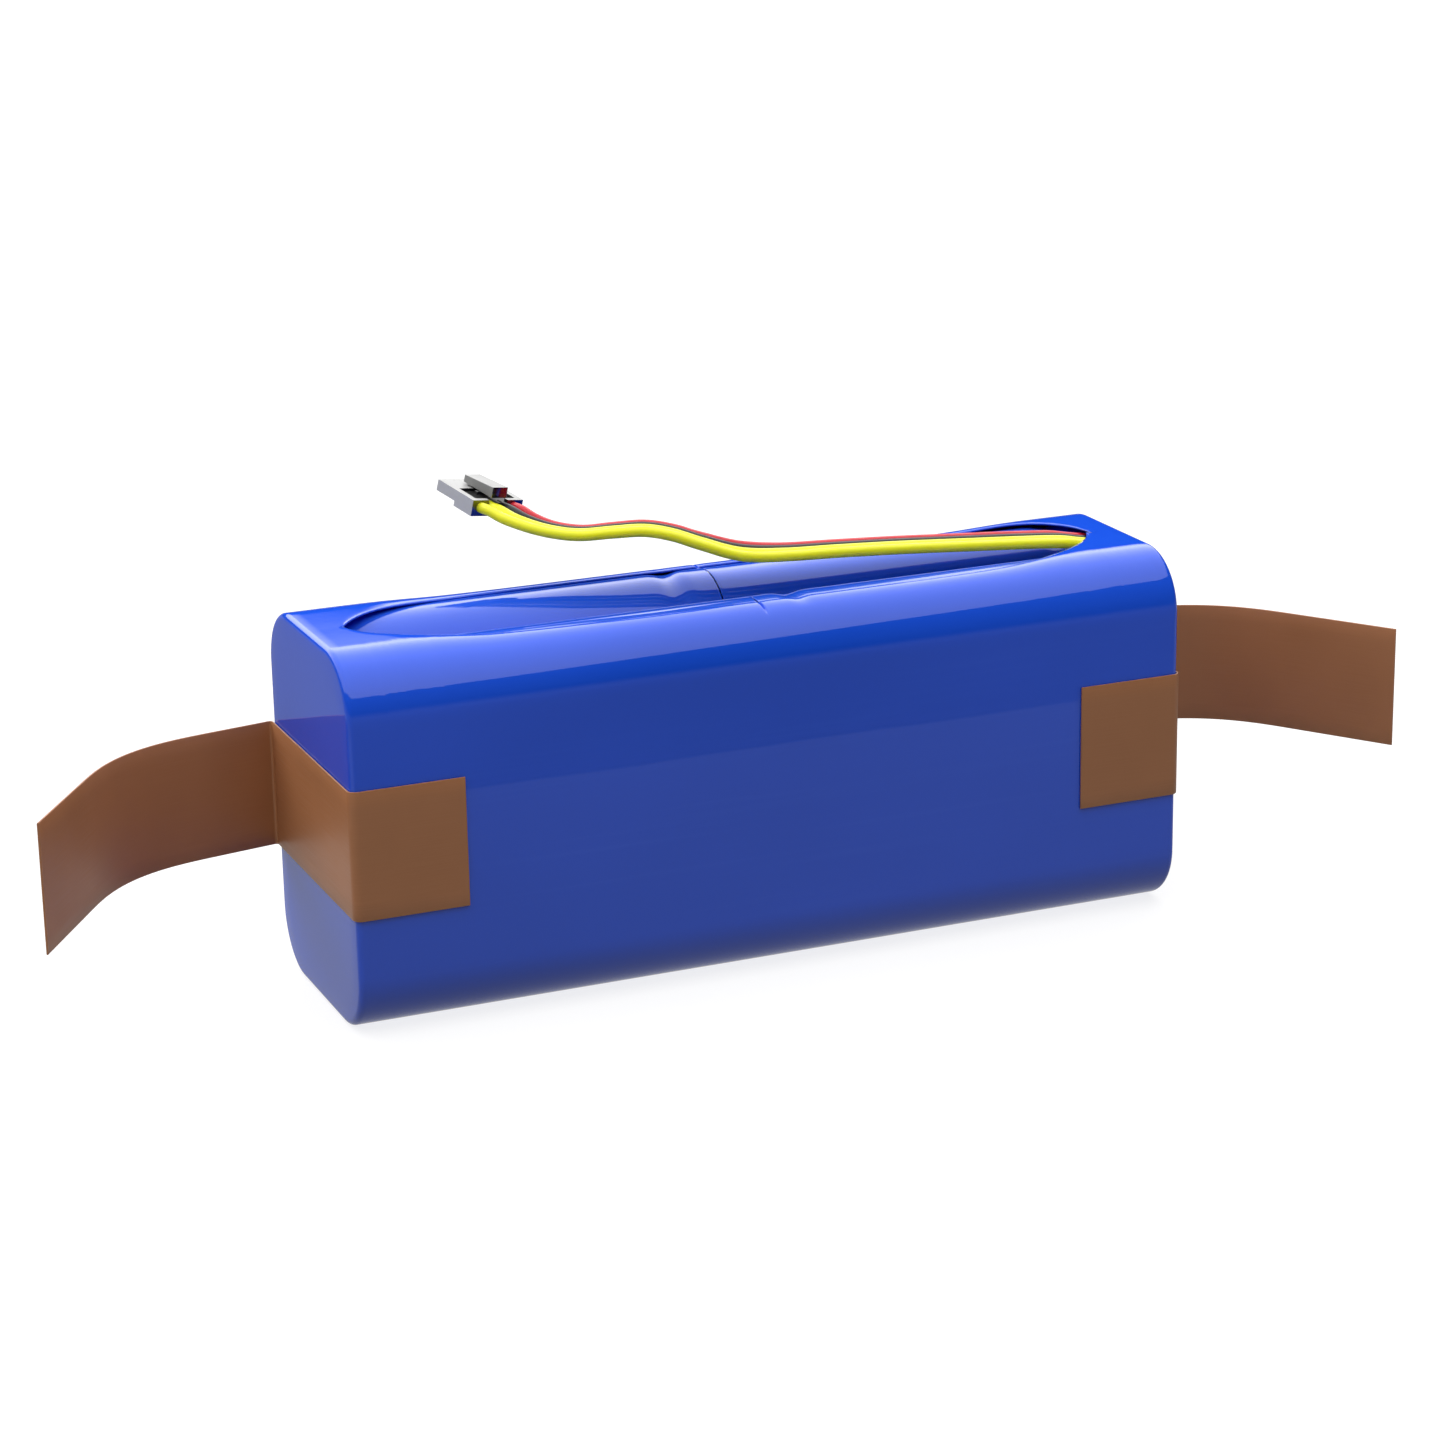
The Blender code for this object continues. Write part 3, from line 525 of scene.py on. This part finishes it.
def cells_through_film(x, lean, side):
    """How far the film is drawn in over the cells' joint and crimp groove, in metres. Each mark is a
    bell curve along X, and fades as the surface leans from facing up towards facing sideways."""
    groove, fall = DENT[side]
    fade = 1.0 - smooth_step(lean, *JOINT_FADE)
    groove_fade = 1.0 - smooth_step(lean, *DENT_FADE)
    joint = JOINT_DEPTH * np.exp(-(((x - JOINT_PLACE) / JOINT_HALF_WIDTH) ** 2))
    shoulders = 0.05 * MM * np.exp(-(((x + 0.08 * MM) / (0.8 * MM)) ** 2))
    dent = fall * np.exp(-np.abs((x - groove) / DENT_HALF_WIDTH) ** 2.2)
    return fade * (joint + shoulders) + groove_fade * dent


def film_half(side):
    """One half of the film, front (-1) or rear (1): rows along X and columns from the top opening's
    edge round the side to the bottom one's. Past an opening's tip its edge is the middle line. Over
    the lead, the rear edge is fuller. The sag brings the edge down onto the cells: it falls off
    exponentially away from the edge, and fades towards the opening's tips."""
    x, inset, cap = (values[:, None] for values in film_stations())
    top = opening_travel(x, TOP_OPENING)
    if side > 0:
        top = np.where(x > 0.0, opening_travel(x, TOP_OPENING_OVER_LEAD), top)
    bottom = GIRTH - opening_travel(x, BOTTOM_OPENING)
    share = np.linspace(0.0, 1.0, FILM_COLUMNS)[None, :]
    share = share - 0.09 * np.sin(2.0 * math.pi * share) / (2.0 * math.pi) * 4.0
    travel = top + (bottom - top) * share
    out, height, lean = film_section(travel)
    drawn_in = cells_through_film(x, lean, side)
    span = 1.0 - smooth_step(np.abs(x), *SAG_FADE)
    from_edge = travel - top
    drawn_in = drawn_in + span * FILM_SAG[side] * np.exp(-from_edge / SAG_REACH)
    open_here = np.clip(top / SAG_REACH, 0.0, 1.0)
    drawn_in = drawn_in + open_here * FILM_CURL[side] * np.exp(-from_edge / CURL_REACH)
    ripple = np.sin(x / (8.5 * MM) + 0.7) * np.sin(travel / (6.5 * MM)) * 0.5
    ripple = ripple + np.sin(x / (3.9 * MM) + travel / (11.0 * MM)) * 0.3
    drawn_in = drawn_in + 0.007 * MM * (1.0 + ripple)
    depth = inset + drawn_in * (inset == 0)
    out = out - depth * np.sin(lean)
    height = height - depth * np.cos(lean)
    spine = HEIGHT / 2 + (0.5 - travel / GIRTH) * HEIGHT / 2
    out = out * (1.0 - cap)
    height = height * (1.0 - cap) + spine * cap
    return np.stack([np.broadcast_to(x, out.shape), side * out, height], axis=-1)


def make_film():
    film = sewn("blue_film_wrap", [film_half(-1), film_half(1)], FILM)
    wall = film.modifiers.new("film_wall", "SOLIDIFY")
    wall.thickness = FILM_WALL
    wall.offset = -1.0
    return settle(film, "pack", "wrap_blue", "shrink_wrap")


# ---------------------------------------------------------------------------------------------
# Cells
# ---------------------------------------------------------------------------------------------


def turned_about_axis(start, towards, along, radius, sides=CELL_SIDES):
    """A profile of distances and radii turned about a line along X. The radius may be one column,
    or change round the turn as well."""
    turn = np.linspace(0.0, 2.0 * math.pi, sides, endpoint=False)[None, :]
    along = along[:, None]
    radius = radius[:, None]
    x = np.broadcast_to(start[0] + towards * along, (len(along), sides))
    return np.stack([x, start[1] + radius * np.cos(turn), start[2] + radius * np.sin(turn)], axis=-1)


def cell_start(can, sleeve):
    """A cell's negative end and the way its cap faces: the sleeve stops shorter of the cap."""
    can_low, can_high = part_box(can)
    sleeve_low, sleeve_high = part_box(sleeve)
    towards = 1.0 if can_high.x - sleeve_high.x > sleeve_low.x - can_low.x else -1.0
    middle = (can_low + can_high) / 2
    return (can_low.x if towards > 0 else can_high.x, middle.y, middle.z), towards


def groove_profile(along, radius):
    """Radius with the crimp groove: a dip that is a little steeper towards the cap than away from it,
    and a low swell on each side of it."""
    from_groove = along - GROOVE_PLACE
    width = np.where(from_groove > 0.0, GROOVE_TO_CAP, GROOVE_FROM_CAP)
    dip = GROOVE_DEPTH * np.exp(-np.abs(from_groove / width) ** 2.3)
    swell = 0.05 * MM * np.exp(-((from_groove / (3.4 * MM)) ** 2))
    return radius - dip + swell


def sleeve_grid(start, towards):
    """The sleeve's closed section: out over the rounded lip at each end, and back along the inside,
    one wall thickness in."""
    lip = SLEEVE_LIP
    turn = np.linspace(math.pi / 2, 0.0, 7)
    first, last = -SLEEVE_PAST_END, CELL_LENGTH + SLEEVE_PAST_END
    body = np.concatenate([
        np.linspace(first + lip, 53.5 * MM, 34),
        np.linspace(53.7 * MM, last - lip, 70),
    ])
    along = np.concatenate([
        first + lip * (1.0 - np.sin(turn)), body[1:-1], last - lip * (1.0 - np.sin(turn[::-1]))
    ])
    radius = groove_profile(along, SLEEVE_RADIUS)
    fall = lip * (1.0 - np.cos(turn))
    radius[: len(turn)] -= fall
    radius[-len(turn):] -= fall[::-1]
    inner_along = np.clip(along[::-3], first + SLEEVE_WALL, last - SLEEVE_WALL)
    inner_radius = np.interp(inner_along, along, radius) - SLEEVE_WALL
    return turned_about_axis(
        start, towards, np.concatenate([along, inner_along]), np.concatenate([radius, inner_radius])
    )


def can_grid(start, towards):
    """The can's section from the middle of its flat base, up its wall with the crimp groove, over the
    shoulder to the raised cap."""
    edge = 0.4 * MM
    turn = np.linspace(0.0, math.pi / 2, 5)
    wall = np.concatenate([np.linspace(1.0 * MM, 54.0 * MM, 12), np.linspace(54.4 * MM, 63.2 * MM, 44)])
    shoulder = 64.1 * MM
    along = np.concatenate([
        [0.0, 0.0], edge * (1.0 - np.cos(turn)), wall, shoulder - edge * (1.0 - np.sin(turn)),
        [shoulder, shoulder + 0.05 * MM], CELL_LENGTH - 0.25 * MM * (1.0 - np.sin(turn)), [CELL_LENGTH],
    ])
    radius = np.concatenate([
        [0.0, 5.0 * MM], CAN_RADIUS - edge * (1.0 - np.sin(turn)), groove_profile(wall, CAN_RADIUS),
        CAN_RADIUS - edge * (1.0 - np.cos(turn)),
        [4.2 * MM, 3.1 * MM], 3.0 * MM - 0.25 * MM * (1.0 - np.cos(turn)), [0.0],
    ])
    return turned_about_axis(start, towards, along, radius, 64)


def make_cells():
    for side in ("left", "right"):
        for row in ("front", "rear"):
            for level in ("top", "middle", "bottom"):
                place = f"{side}_{row}_{level}"
                can, sleeve = f"cell_can_{place}", f"cell_sleeve_{place}"
                start, towards = cell_start(can, sleeve)
                film = sewn(f"sleeve_{place}", [sleeve_grid(start, towards)], SLEEVE, (True, True))
                settle(film, "pack", "sleeve_blue", sleeve)
                steel = sewn(f"can_{place}", [can_grid(start, towards)], CAN_STEEL, (False, True))
                settle(steel, "pack", "can_steel", can)


# ---------------------------------------------------------------------------------------------
# Straps
# ---------------------------------------------------------------------------------------------


def strap_line():
    """The right strap's middle line in plan, as evenly small steps with a heading: along the front,
    round the pack's corner, along the end, round the crease and out along the curved tail. Heading 0
    is along +X, and the tail's turns towards the front by a smooth step."""
    corner = END_ROUNDING + STRAP_OFF_FILM
    start = np.array([HALF_LENGTH - STRAP_FRONT_LENGTH, -HALF_DEPTH - STRAP_OFF_FILM])
    front = STRAP_FRONT_LENGTH - END_ROUNDING
    end_face = CREASE_START + HALF_DEPTH - END_ROUNDING
    crease_turn = math.pi / 2 + TAIL_ANGLES[0]
    stretches = (
        (front, 24, lambda t: 0.0 * t),
        (corner * math.pi / 2, 12, lambda t: t * math.pi / 2),
        (end_face, 36, lambda t: math.pi / 2 + 0.0 * t),
        (CREASE_RADIUS * crease_turn, 14, lambda t: math.pi / 2 - t * crease_turn),
        (TAIL_LENGTH, 90, tail_heading),
    )
    steps, headings = [], []
    for length, count, heading in stretches:
        middle = (np.arange(count) + 0.5) / count
        steps.append(np.full(count, length / count))
        headings.append(heading(middle))
    steps, headings = np.concatenate(steps), np.concatenate(headings)
    moves = steps[:, None] * np.stack([np.cos(headings), np.sin(headings)], axis=1)
    line = start + np.concatenate([np.zeros((1, 2)), np.cumsum(moves, axis=0)])
    return line, np.concatenate([[0.0], np.cumsum(steps)])


def tail_heading(share):
    travelled = share * TAIL_LENGTH
    turn = smooth_step(travelled, *TAIL_BEND)
    return -(TAIL_ANGLES[0] + (TAIL_ANGLES[1] - TAIL_ANGLES[0]) * turn)


def strap_grid(low, high, mirror):
    """A thin section with rounded edges, carried along the strap's line. Its columns run up the
    outer face and down the inner one."""
    line, travelled = strap_line()
    heading = np.gradient(line, axis=0)
    heading /= np.linalg.norm(heading, axis=1)[:, None]
    outward = np.stack([heading[:, 1], -heading[:, 0]], axis=1)
    half = STRAP_THICKNESS / 2
    rounded = np.linspace(-math.pi / 2, math.pi / 2, 5)
    rise = np.linspace(low + half, high - half, 9)
    thick = np.concatenate([
        np.full(7, half), half * np.cos(rounded + math.pi / 2), np.full(7, -half),
        half * np.cos(rounded - math.pi / 2),
    ])
    tall = np.concatenate([
        rise[1:-1], high - half + half * np.cos(rounded), rise[-2:0:-1],
        low + half - half * np.cos(rounded),
    ])
    plan = line[:, None, :] + outward[:, None, :] * thick[None, :, None]
    z = np.broadcast_to(tall, plan.shape[:2])
    grid = np.stack([mirror * plan[..., 0], plan[..., 1], z], axis=-1)
    across = np.concatenate([np.cumsum(np.abs(np.diff(tall, prepend=tall[0]))), [2 * (high - low)]])
    uv = np.stack(np.broadcast_arrays(travelled[:, None], across[None, :]), axis=-1)
    return grid, uv


def make_straps():
    """Each strap is one piece with a fixed crease between the stuck stretch and the tail."""
    for side, mirror in (("left", -1.0), ("right", 1.0)):
        stuck, tail = f"{side}_strap_stuck", f"{side}_strap_tail"
        low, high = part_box(stuck)
        grid, uv = strap_grid(low.z, high.z, mirror)
        strap = sewn(f"{side}_fixing_strap", [grid], TAPE, (False, True), uv, caps=True)
        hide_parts(stuck, tail)
        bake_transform(strap)


# ---------------------------------------------------------------------------------------------
# Lead
# ---------------------------------------------------------------------------------------------


def smooth_through(points, count):
    """Evenly spaced points on the Catmull-Rom curve through the given points."""
    ends = np.concatenate([[2 * points[0] - points[1]], points, [2 * points[-1] - points[-2]]])
    before, start, end, after = (ends[i: len(ends) - 3 + i, None, :] for i in range(4))
    t = (np.arange(24) / 24)[None, :, None]
    curve = 2 * start + (end - before) * t
    curve = curve + (2 * before - 5 * start + 4 * end - after) * t**2
    curve = curve + (3 * start - before - 3 * end + after) * t**3
    fine = np.concatenate([(curve / 2).reshape(-1, 3), points[-1:]])
    lengths = np.concatenate([[0.0], np.cumsum(np.linalg.norm(np.diff(fine, axis=0), axis=1))])
    wanted = np.linspace(0.0, lengths[-1], count)
    return np.stack([np.interp(wanted, lengths, fine[:, axis]) for axis in range(3)], axis=1)


def unit(vectors):
    return vectors / np.linalg.norm(vectors, axis=-1, keepdims=True)


def wire_lines():
    """The four wires' middle lines, side by side across the lead. The row of wires leans over with
    the cube of the way along, up to the connector's roll, and spreads to its pitch with the fourth
    power. Each line then runs on straight into the connector."""
    mouth = np.array(CONNECTOR @ Vector((0.0, -0.3 * MM, 0.0)))
    middle = smooth_through(np.concatenate([np.array(LEAD_ROUTE_MM) * MM, [mouth]]), WIRE_RINGS)
    share = np.linspace(0.0, 1.0, WIRE_RINGS)[:, None]
    along = unit(np.gradient(middle, axis=0))
    across = -unit(np.cross([0.0, 0.0, 1.0], along))
    roll = CONNECTOR_TURNS[2] * share**3 - BAND_TILT * np.exp(-(((share - 0.63) / 0.07) ** 2))
    across = across * np.cos(roll) + np.cross(along, across) * np.sin(roll)
    axis = np.array(CONNECTOR.to_3x3() @ Vector((1.0, 0.0, 0.0)))
    across = unit(across + (axis - across) * smooth_step(share, 0.9, 1.0))
    pitch = WIRE_PITCHES[0] + (WIRE_PITCHES[1] - WIRE_PITCHES[0]) * share**4
    inward = np.array(CONNECTOR.to_3x3() @ Vector((0.0, 1.0, 0.0)))
    lines = []
    for number in range(4):
        line = middle + across * pitch * (number - 1.5)
        inside = line[-1] + inward * np.linspace(0.0, WIRE_INSERTION, 5)[1:, None]
        lines.append(np.concatenate([line, inside]))
    return lines


def wire_grid(line, radius):
    """A circle carried along a line, turned with it so that no ring twists."""
    along = unit(np.gradient(line, axis=0))
    side = unit(np.cross(along, [0.0, 0.0, 1.0]))
    rise = np.cross(side, along)
    turn = np.linspace(0.0, 2.0 * math.pi, WIRE_SIDES, endpoint=False)[None, :, None]
    ring = side[:, None, :] * np.cos(turn) + rise[:, None, :] * np.sin(turn)
    grid = line[:, None, :] + radius * ring
    travelled = np.concatenate([[0.0], np.cumsum(np.linalg.norm(np.diff(line, axis=0), axis=1))])
    round_it = np.linspace(0.0, 2.0 * math.pi * radius, WIRE_SIDES + 1)
    uv = np.stack(np.broadcast_arrays(travelled[:, None], round_it[None, :]), axis=-1)
    return grid, uv, travelled[-1]


def make_wires():
    for (name, slot, deep, bright), line in zip(WIRES, wire_lines()):
        grid, uv, length = wire_grid(line, WIRE_DIAMETER / 2)
        skin = wire_skin(f"{name}_skin", deep, bright)
        wire = sewn(f"{name}_insulated", [grid], skin, (False, True), uv, caps=True)
        settle(wire, "pack", slot, name)


# ---------------------------------------------------------------------------------------------
# Connector
# ---------------------------------------------------------------------------------------------


def merged_copy(node, name, material, shaded):
    """A copy of a CAD node's mesh with its triangles joined into whole flat faces. The attribute
    "wire_side" is 1 on the faces that look back along the wires, which get painted shade as a dark
    mirror, and
    "shaded_side", the amount of painted shade, is what the given function makes of each face's middle
    and normal in the connector's own frame."""
    body = bmesh.new()
    body.from_mesh(NODES[node].data)
    bmesh.ops.remove_doubles(body, verts=body.verts, dist=1e-6)
    bmesh.ops.dissolve_limit(
        body, angle_limit=math.radians(1.0), verts=body.verts, edges=body.edges
    )
    mesh = bpy.data.meshes.new(name)
    body.to_mesh(mesh)
    body.free()
    turn = np.array(CONNECTOR.to_3x3())
    normals = np.zeros((len(mesh.polygons), 3))
    middles = np.zeros((len(mesh.polygons), 3))
    mesh.polygons.foreach_get("normal", normals.reshape(-1))
    mesh.polygons.foreach_get("center", middles.reshape(-1))
    normals = normals @ turn
    middles = (middles - np.array(CONNECTOR.translation)) @ turn
    wire_side = (normals[:, 1] < -0.95).astype(float)
    mesh.attributes.new("wire_side", "FLOAT", "FACE").data.foreach_set("value", wire_side)
    shade = shaded(middles, normals).astype(float)
    mesh.attributes.new("shaded_side", "FLOAT", "FACE").data.foreach_set("value", shade)
    mesh.materials.append(material)
    piece = bpy.data.objects.new(name, mesh)
    bpy.context.scene.collection.objects.link(piece)
    return piece


def housing_shade(middles, normals):
    """Painted shade: 1 on the floor and the inner walls of the recess under the latch."""
    inside = (np.abs(middles[:, 0]) < RECESS_HALF) & (middles[:, 2] > RECESS_LOW)
    below_top = middles[:, 2] < RECESS_HIGH
    return inside & below_top & (normals[:, 1] > -0.95)


def latch_shade(middles, normals):
    """Painted shade: 0.55 on the latch's two long sides and 1 on its underside."""
    return 0.55 * (np.abs(normals[:, 0]) > 0.9) + 1.0 * (normals[:, 2] < -0.8)


def moulded(piece):
    """Rounds the piece's sharp edges, as a mould does."""
    bevel = piece.modifiers.new("mould_rounding", "BEVEL")
    bevel.width = MOULD_ROUNDING
    bevel.segments = 2
    bevel.limit_method = "ANGLE"
    bevel.angle_limit = math.radians(35.0)
    return piece


def make_connector():
    housing = merged_copy("connector_housing", "connector_body", MOULDING, housing_shade)
    settle(moulded(housing), "pack", "housing_white", "connector_housing")
    latch = merged_copy("connector_latch", "latch_lever", MOULDING, latch_shade)
    settle(moulded(latch), "latch", "housing_white", "connector_latch")
    return [housing, latch]


# ---------------------------------------------------------------------------------------------
# Pieces that keep their CAD shape
# ---------------------------------------------------------------------------------------------


def finish_hidden_pieces():
    finishes = {
        "left_end_bridge_plate": NICKEL,
        "front_middle_plate": NICKEL,
        "rear_middle_plate": NICKEL,
        "front_negative_plate": NICKEL,
        "rear_positive_plate": NICKEL,
        "left_end_board": PAPER,
        "right_end_board": PAPER,
        "front_side_paper": PAPER,
        "rear_side_paper": PAPER,
        "protection_board": BOARD,
        "thermistor_bead": RESIN,
        "thermistor_lead": GREY_LEAD,
        "crimp_contact_1": CONTACT_TIN,
        "crimp_contact_2": CONTACT_TIN,
        "crimp_contact_3": CONTACT_TIN,
        "crimp_contact_4": CONTACT_TIN,
    }
    for node, material in finishes.items():
        NODES[node].data.materials.clear()
        NODES[node].data.materials.append(material)


# ---------------------------------------------------------------------------------------------
# Studio
# ---------------------------------------------------------------------------------------------


def make_camera():
    right, up = Vector(CAMERA_RIGHT), Vector(CAMERA_UP)
    back = right.cross(up)
    turn = Matrix((right, up, back)).transposed()
    data = bpy.data.cameras.new("studio_camera")
    data.lens = CAMERA_LENS
    data.sensor_width = CAMERA_SENSOR
    data.clip_start = 0.01
    data.clip_end = 50.0
    camera = bpy.data.objects.new("studio_camera", data)
    camera.matrix_world = Matrix.Translation(CAMERA_PLACE) @ turn.to_4x4()
    bpy.context.scene.collection.objects.link(camera)
    bpy.context.scene.camera = camera


def glowing(name, colour, strength):
    material = bpy.data.materials.new(name)
    material.use_nodes = True
    nodes = material.node_tree.nodes
    nodes.clear()
    glow = nodes.new("ShaderNodeEmission")
    glow.inputs["Color"].default_value = (*colour, 1.0)
    glow.inputs["Strength"].default_value = strength
    output = nodes.new("ShaderNodeOutputMaterial")
    material.node_tree.links.new(glow.outputs[0], output.inputs["Surface"])
    return material


def floor_finish():
    """White paper that glows of itself, so that shadows on it stay faint."""
    material = bpy.data.materials.new("white_paper")
    material.use_nodes = True
    shader = material.node_tree.nodes["Principled BSDF"]
    shader.inputs["Base Color"].default_value = (0.24, 0.24, 0.24, 1.0)
    shader.inputs["Roughness"].default_value = 1.0
    shader.inputs["Specular IOR Level"].default_value = 0.0
    shader.inputs["Emission Color"].default_value = (1.0, 1.0, 1.0, 1.0)
    shader.inputs["Emission Strength"].default_value = FLOOR_GLOW
    return material


def stage_piece(name, grid, material, closed=(False, False), uv=None):
    piece = sewn(name, [grid], material, closed, uv)
    return piece


def soft_box_grid(right, left, near, far, height):
    """A level rectangle whose long sides lie along the camera's way of looking. V runs from its near
    edge, 0, to its far edge, 1."""
    across, ahead = np.meshgrid(np.linspace(left, right, 3), np.linspace(near, far, 3), indexing="ij")
    plan = across[..., None] * np.array(LOOKING_RIGHT) + ahead[..., None] * np.array(LOOKING_AHEAD)
    grid = np.concatenate([plan, np.full((3, 3, 1), height)], axis=-1)
    uv = np.stack([(across - left) / (right - left), (ahead - near) / (far - near)], axis=-1)
    return grid, uv


def soft_box_glow():
    """A soft box's glow by V: weakest at its near edge, strongest well behind the pack, and fading
    out at its far edge."""
    material = glowing("softbox_cloth", (1.0, 1.0, 1.0), SOFTBOX_PEAK)
    nodes, links = material.node_tree.nodes, material.node_tree.links
    coordinates = nodes.new("ShaderNodeTexCoord")
    split = nodes.new("ShaderNodeSeparateXYZ")
    ramp = nodes.new("ShaderNodeValToRGB")
    stops = ramp.color_ramp.elements
    while len(stops) < len(SOFTBOX_FALL):
        stops.new(0.5)
    for stop, (ahead, radiance) in zip(stops, SOFTBOX_FALL):
        stop.position = (ahead - SOFTBOX_NEAR) / (SOFTBOX_FAR - SOFTBOX_NEAR)
        stop.color = (*[radiance / SOFTBOX_PEAK] * 3, 1.0)
    links.new(coordinates.outputs["UV"], split.inputs["Vector"])
    links.new(split.outputs["Y"], ramp.inputs["Fac"])
    links.new(ramp.outputs["Color"], nodes["Emission"].inputs["Color"])
    return material


def flat_card(half, height):
    """A level rectangle round the pack's middle, from its half sizes."""
    spans = (np.linspace(-size, size, 3) for size in half)
    x, y = np.meshgrid(*spans, indexing="ij")
    return np.stack([x, y, np.full(x.shape, height)], axis=-1)


def make_floor():
    """A pale floor turned from a profile: flat, then a quarter circle up into a dome. A bright card
    round the pack shows in reflections alone, and a grey one under it dims soft light alone."""
    turn = np.linspace(0.0, 2.0 * math.pi, 96, endpoint=False)[None, :]
    climb = np.linspace(DOME_START, math.pi / 2, 14)
    radius = np.concatenate([[0.0], np.linspace(0.2, DOME_RADIUS, 12), DOME_RADIUS * np.cos(climb)])
    height = np.concatenate([np.zeros(13), DOME_RADIUS * np.sin(climb)])
    radius, height = radius[:, None], height[:, None]
    z = np.broadcast_to(height, (len(height), turn.shape[1]))
    dome = np.stack([radius * np.cos(turn), radius * np.sin(turn), z], axis=-1)
    floor = stage_piece("pale_floor", dome, floor_finish(), (False, True))
    floor.visible_glossy = False
    floor.visible_diffuse = False
    white = glowing("card_white", (1.0, 1.0, 1.0), CARD_GLOW)
    card = stage_piece("floor_card", flat_card(CARD_HALF, -0.0002), white)
    card.visible_camera = False
    card.visible_shadow = False
    card.visible_diffuse = False
    grey = glowing("contact_grey", (1.0, 1.0, 1.0), SHADE_GLOW)
    shade = stage_piece("contact_shade", flat_card(SHADE_HALF, -0.0004), grey)
    shade.visible_camera = False
    shade.visible_shadow = False
    shade.visible_glossy = False


def make_lights():
    """A soft box overhead, and a world that is bright low down and dark overhead."""
    grid, uv = soft_box_grid(SOFTBOX_RIGHT, SOFTBOX_LEFT, SOFTBOX_NEAR, SOFTBOX_FAR, SOFTBOX_HEIGHT)
    box = stage_piece("overhead_softbox", grid, soft_box_glow(), uv=uv)
    box.visible_camera = False

    world = bpy.data.worlds.new("soft_studio")
    bpy.context.scene.world = world
    world.use_nodes = True
    nodes, links = world.node_tree.nodes, world.node_tree.links
    direction = nodes.new("ShaderNodeTexCoord")
    split = nodes.new("ShaderNodeSeparateXYZ")
    rise = nodes.new("ShaderNodeMapRange")
    rise.interpolation_type = "SMOOTHSTEP"
    for socket, number in zip(rise.inputs[1:5], WORLD_RISE):
        socket.default_value = number
    links.new(direction.outputs["Generated"], split.inputs["Vector"])
    links.new(split.outputs["Z"], rise.inputs["Value"])
    links.new(rise.outputs["Result"], nodes["Background"].inputs["Strength"])
    nodes["Background"].inputs["Color"].default_value = (1.0, 1.0, 1.0, 1.0)


bpy.context.scene.view_settings.view_transform = "Standard"
make_camera()
contacts = [NODES[f"crimp_contact_{number}"] for number in (1, 2, 3, 4)]
on_the_lead = make_connector() + contacts
make_wires()
make_film()
make_cells()
make_straps()
finish_hidden_pieces()
make_floor()
make_lights()
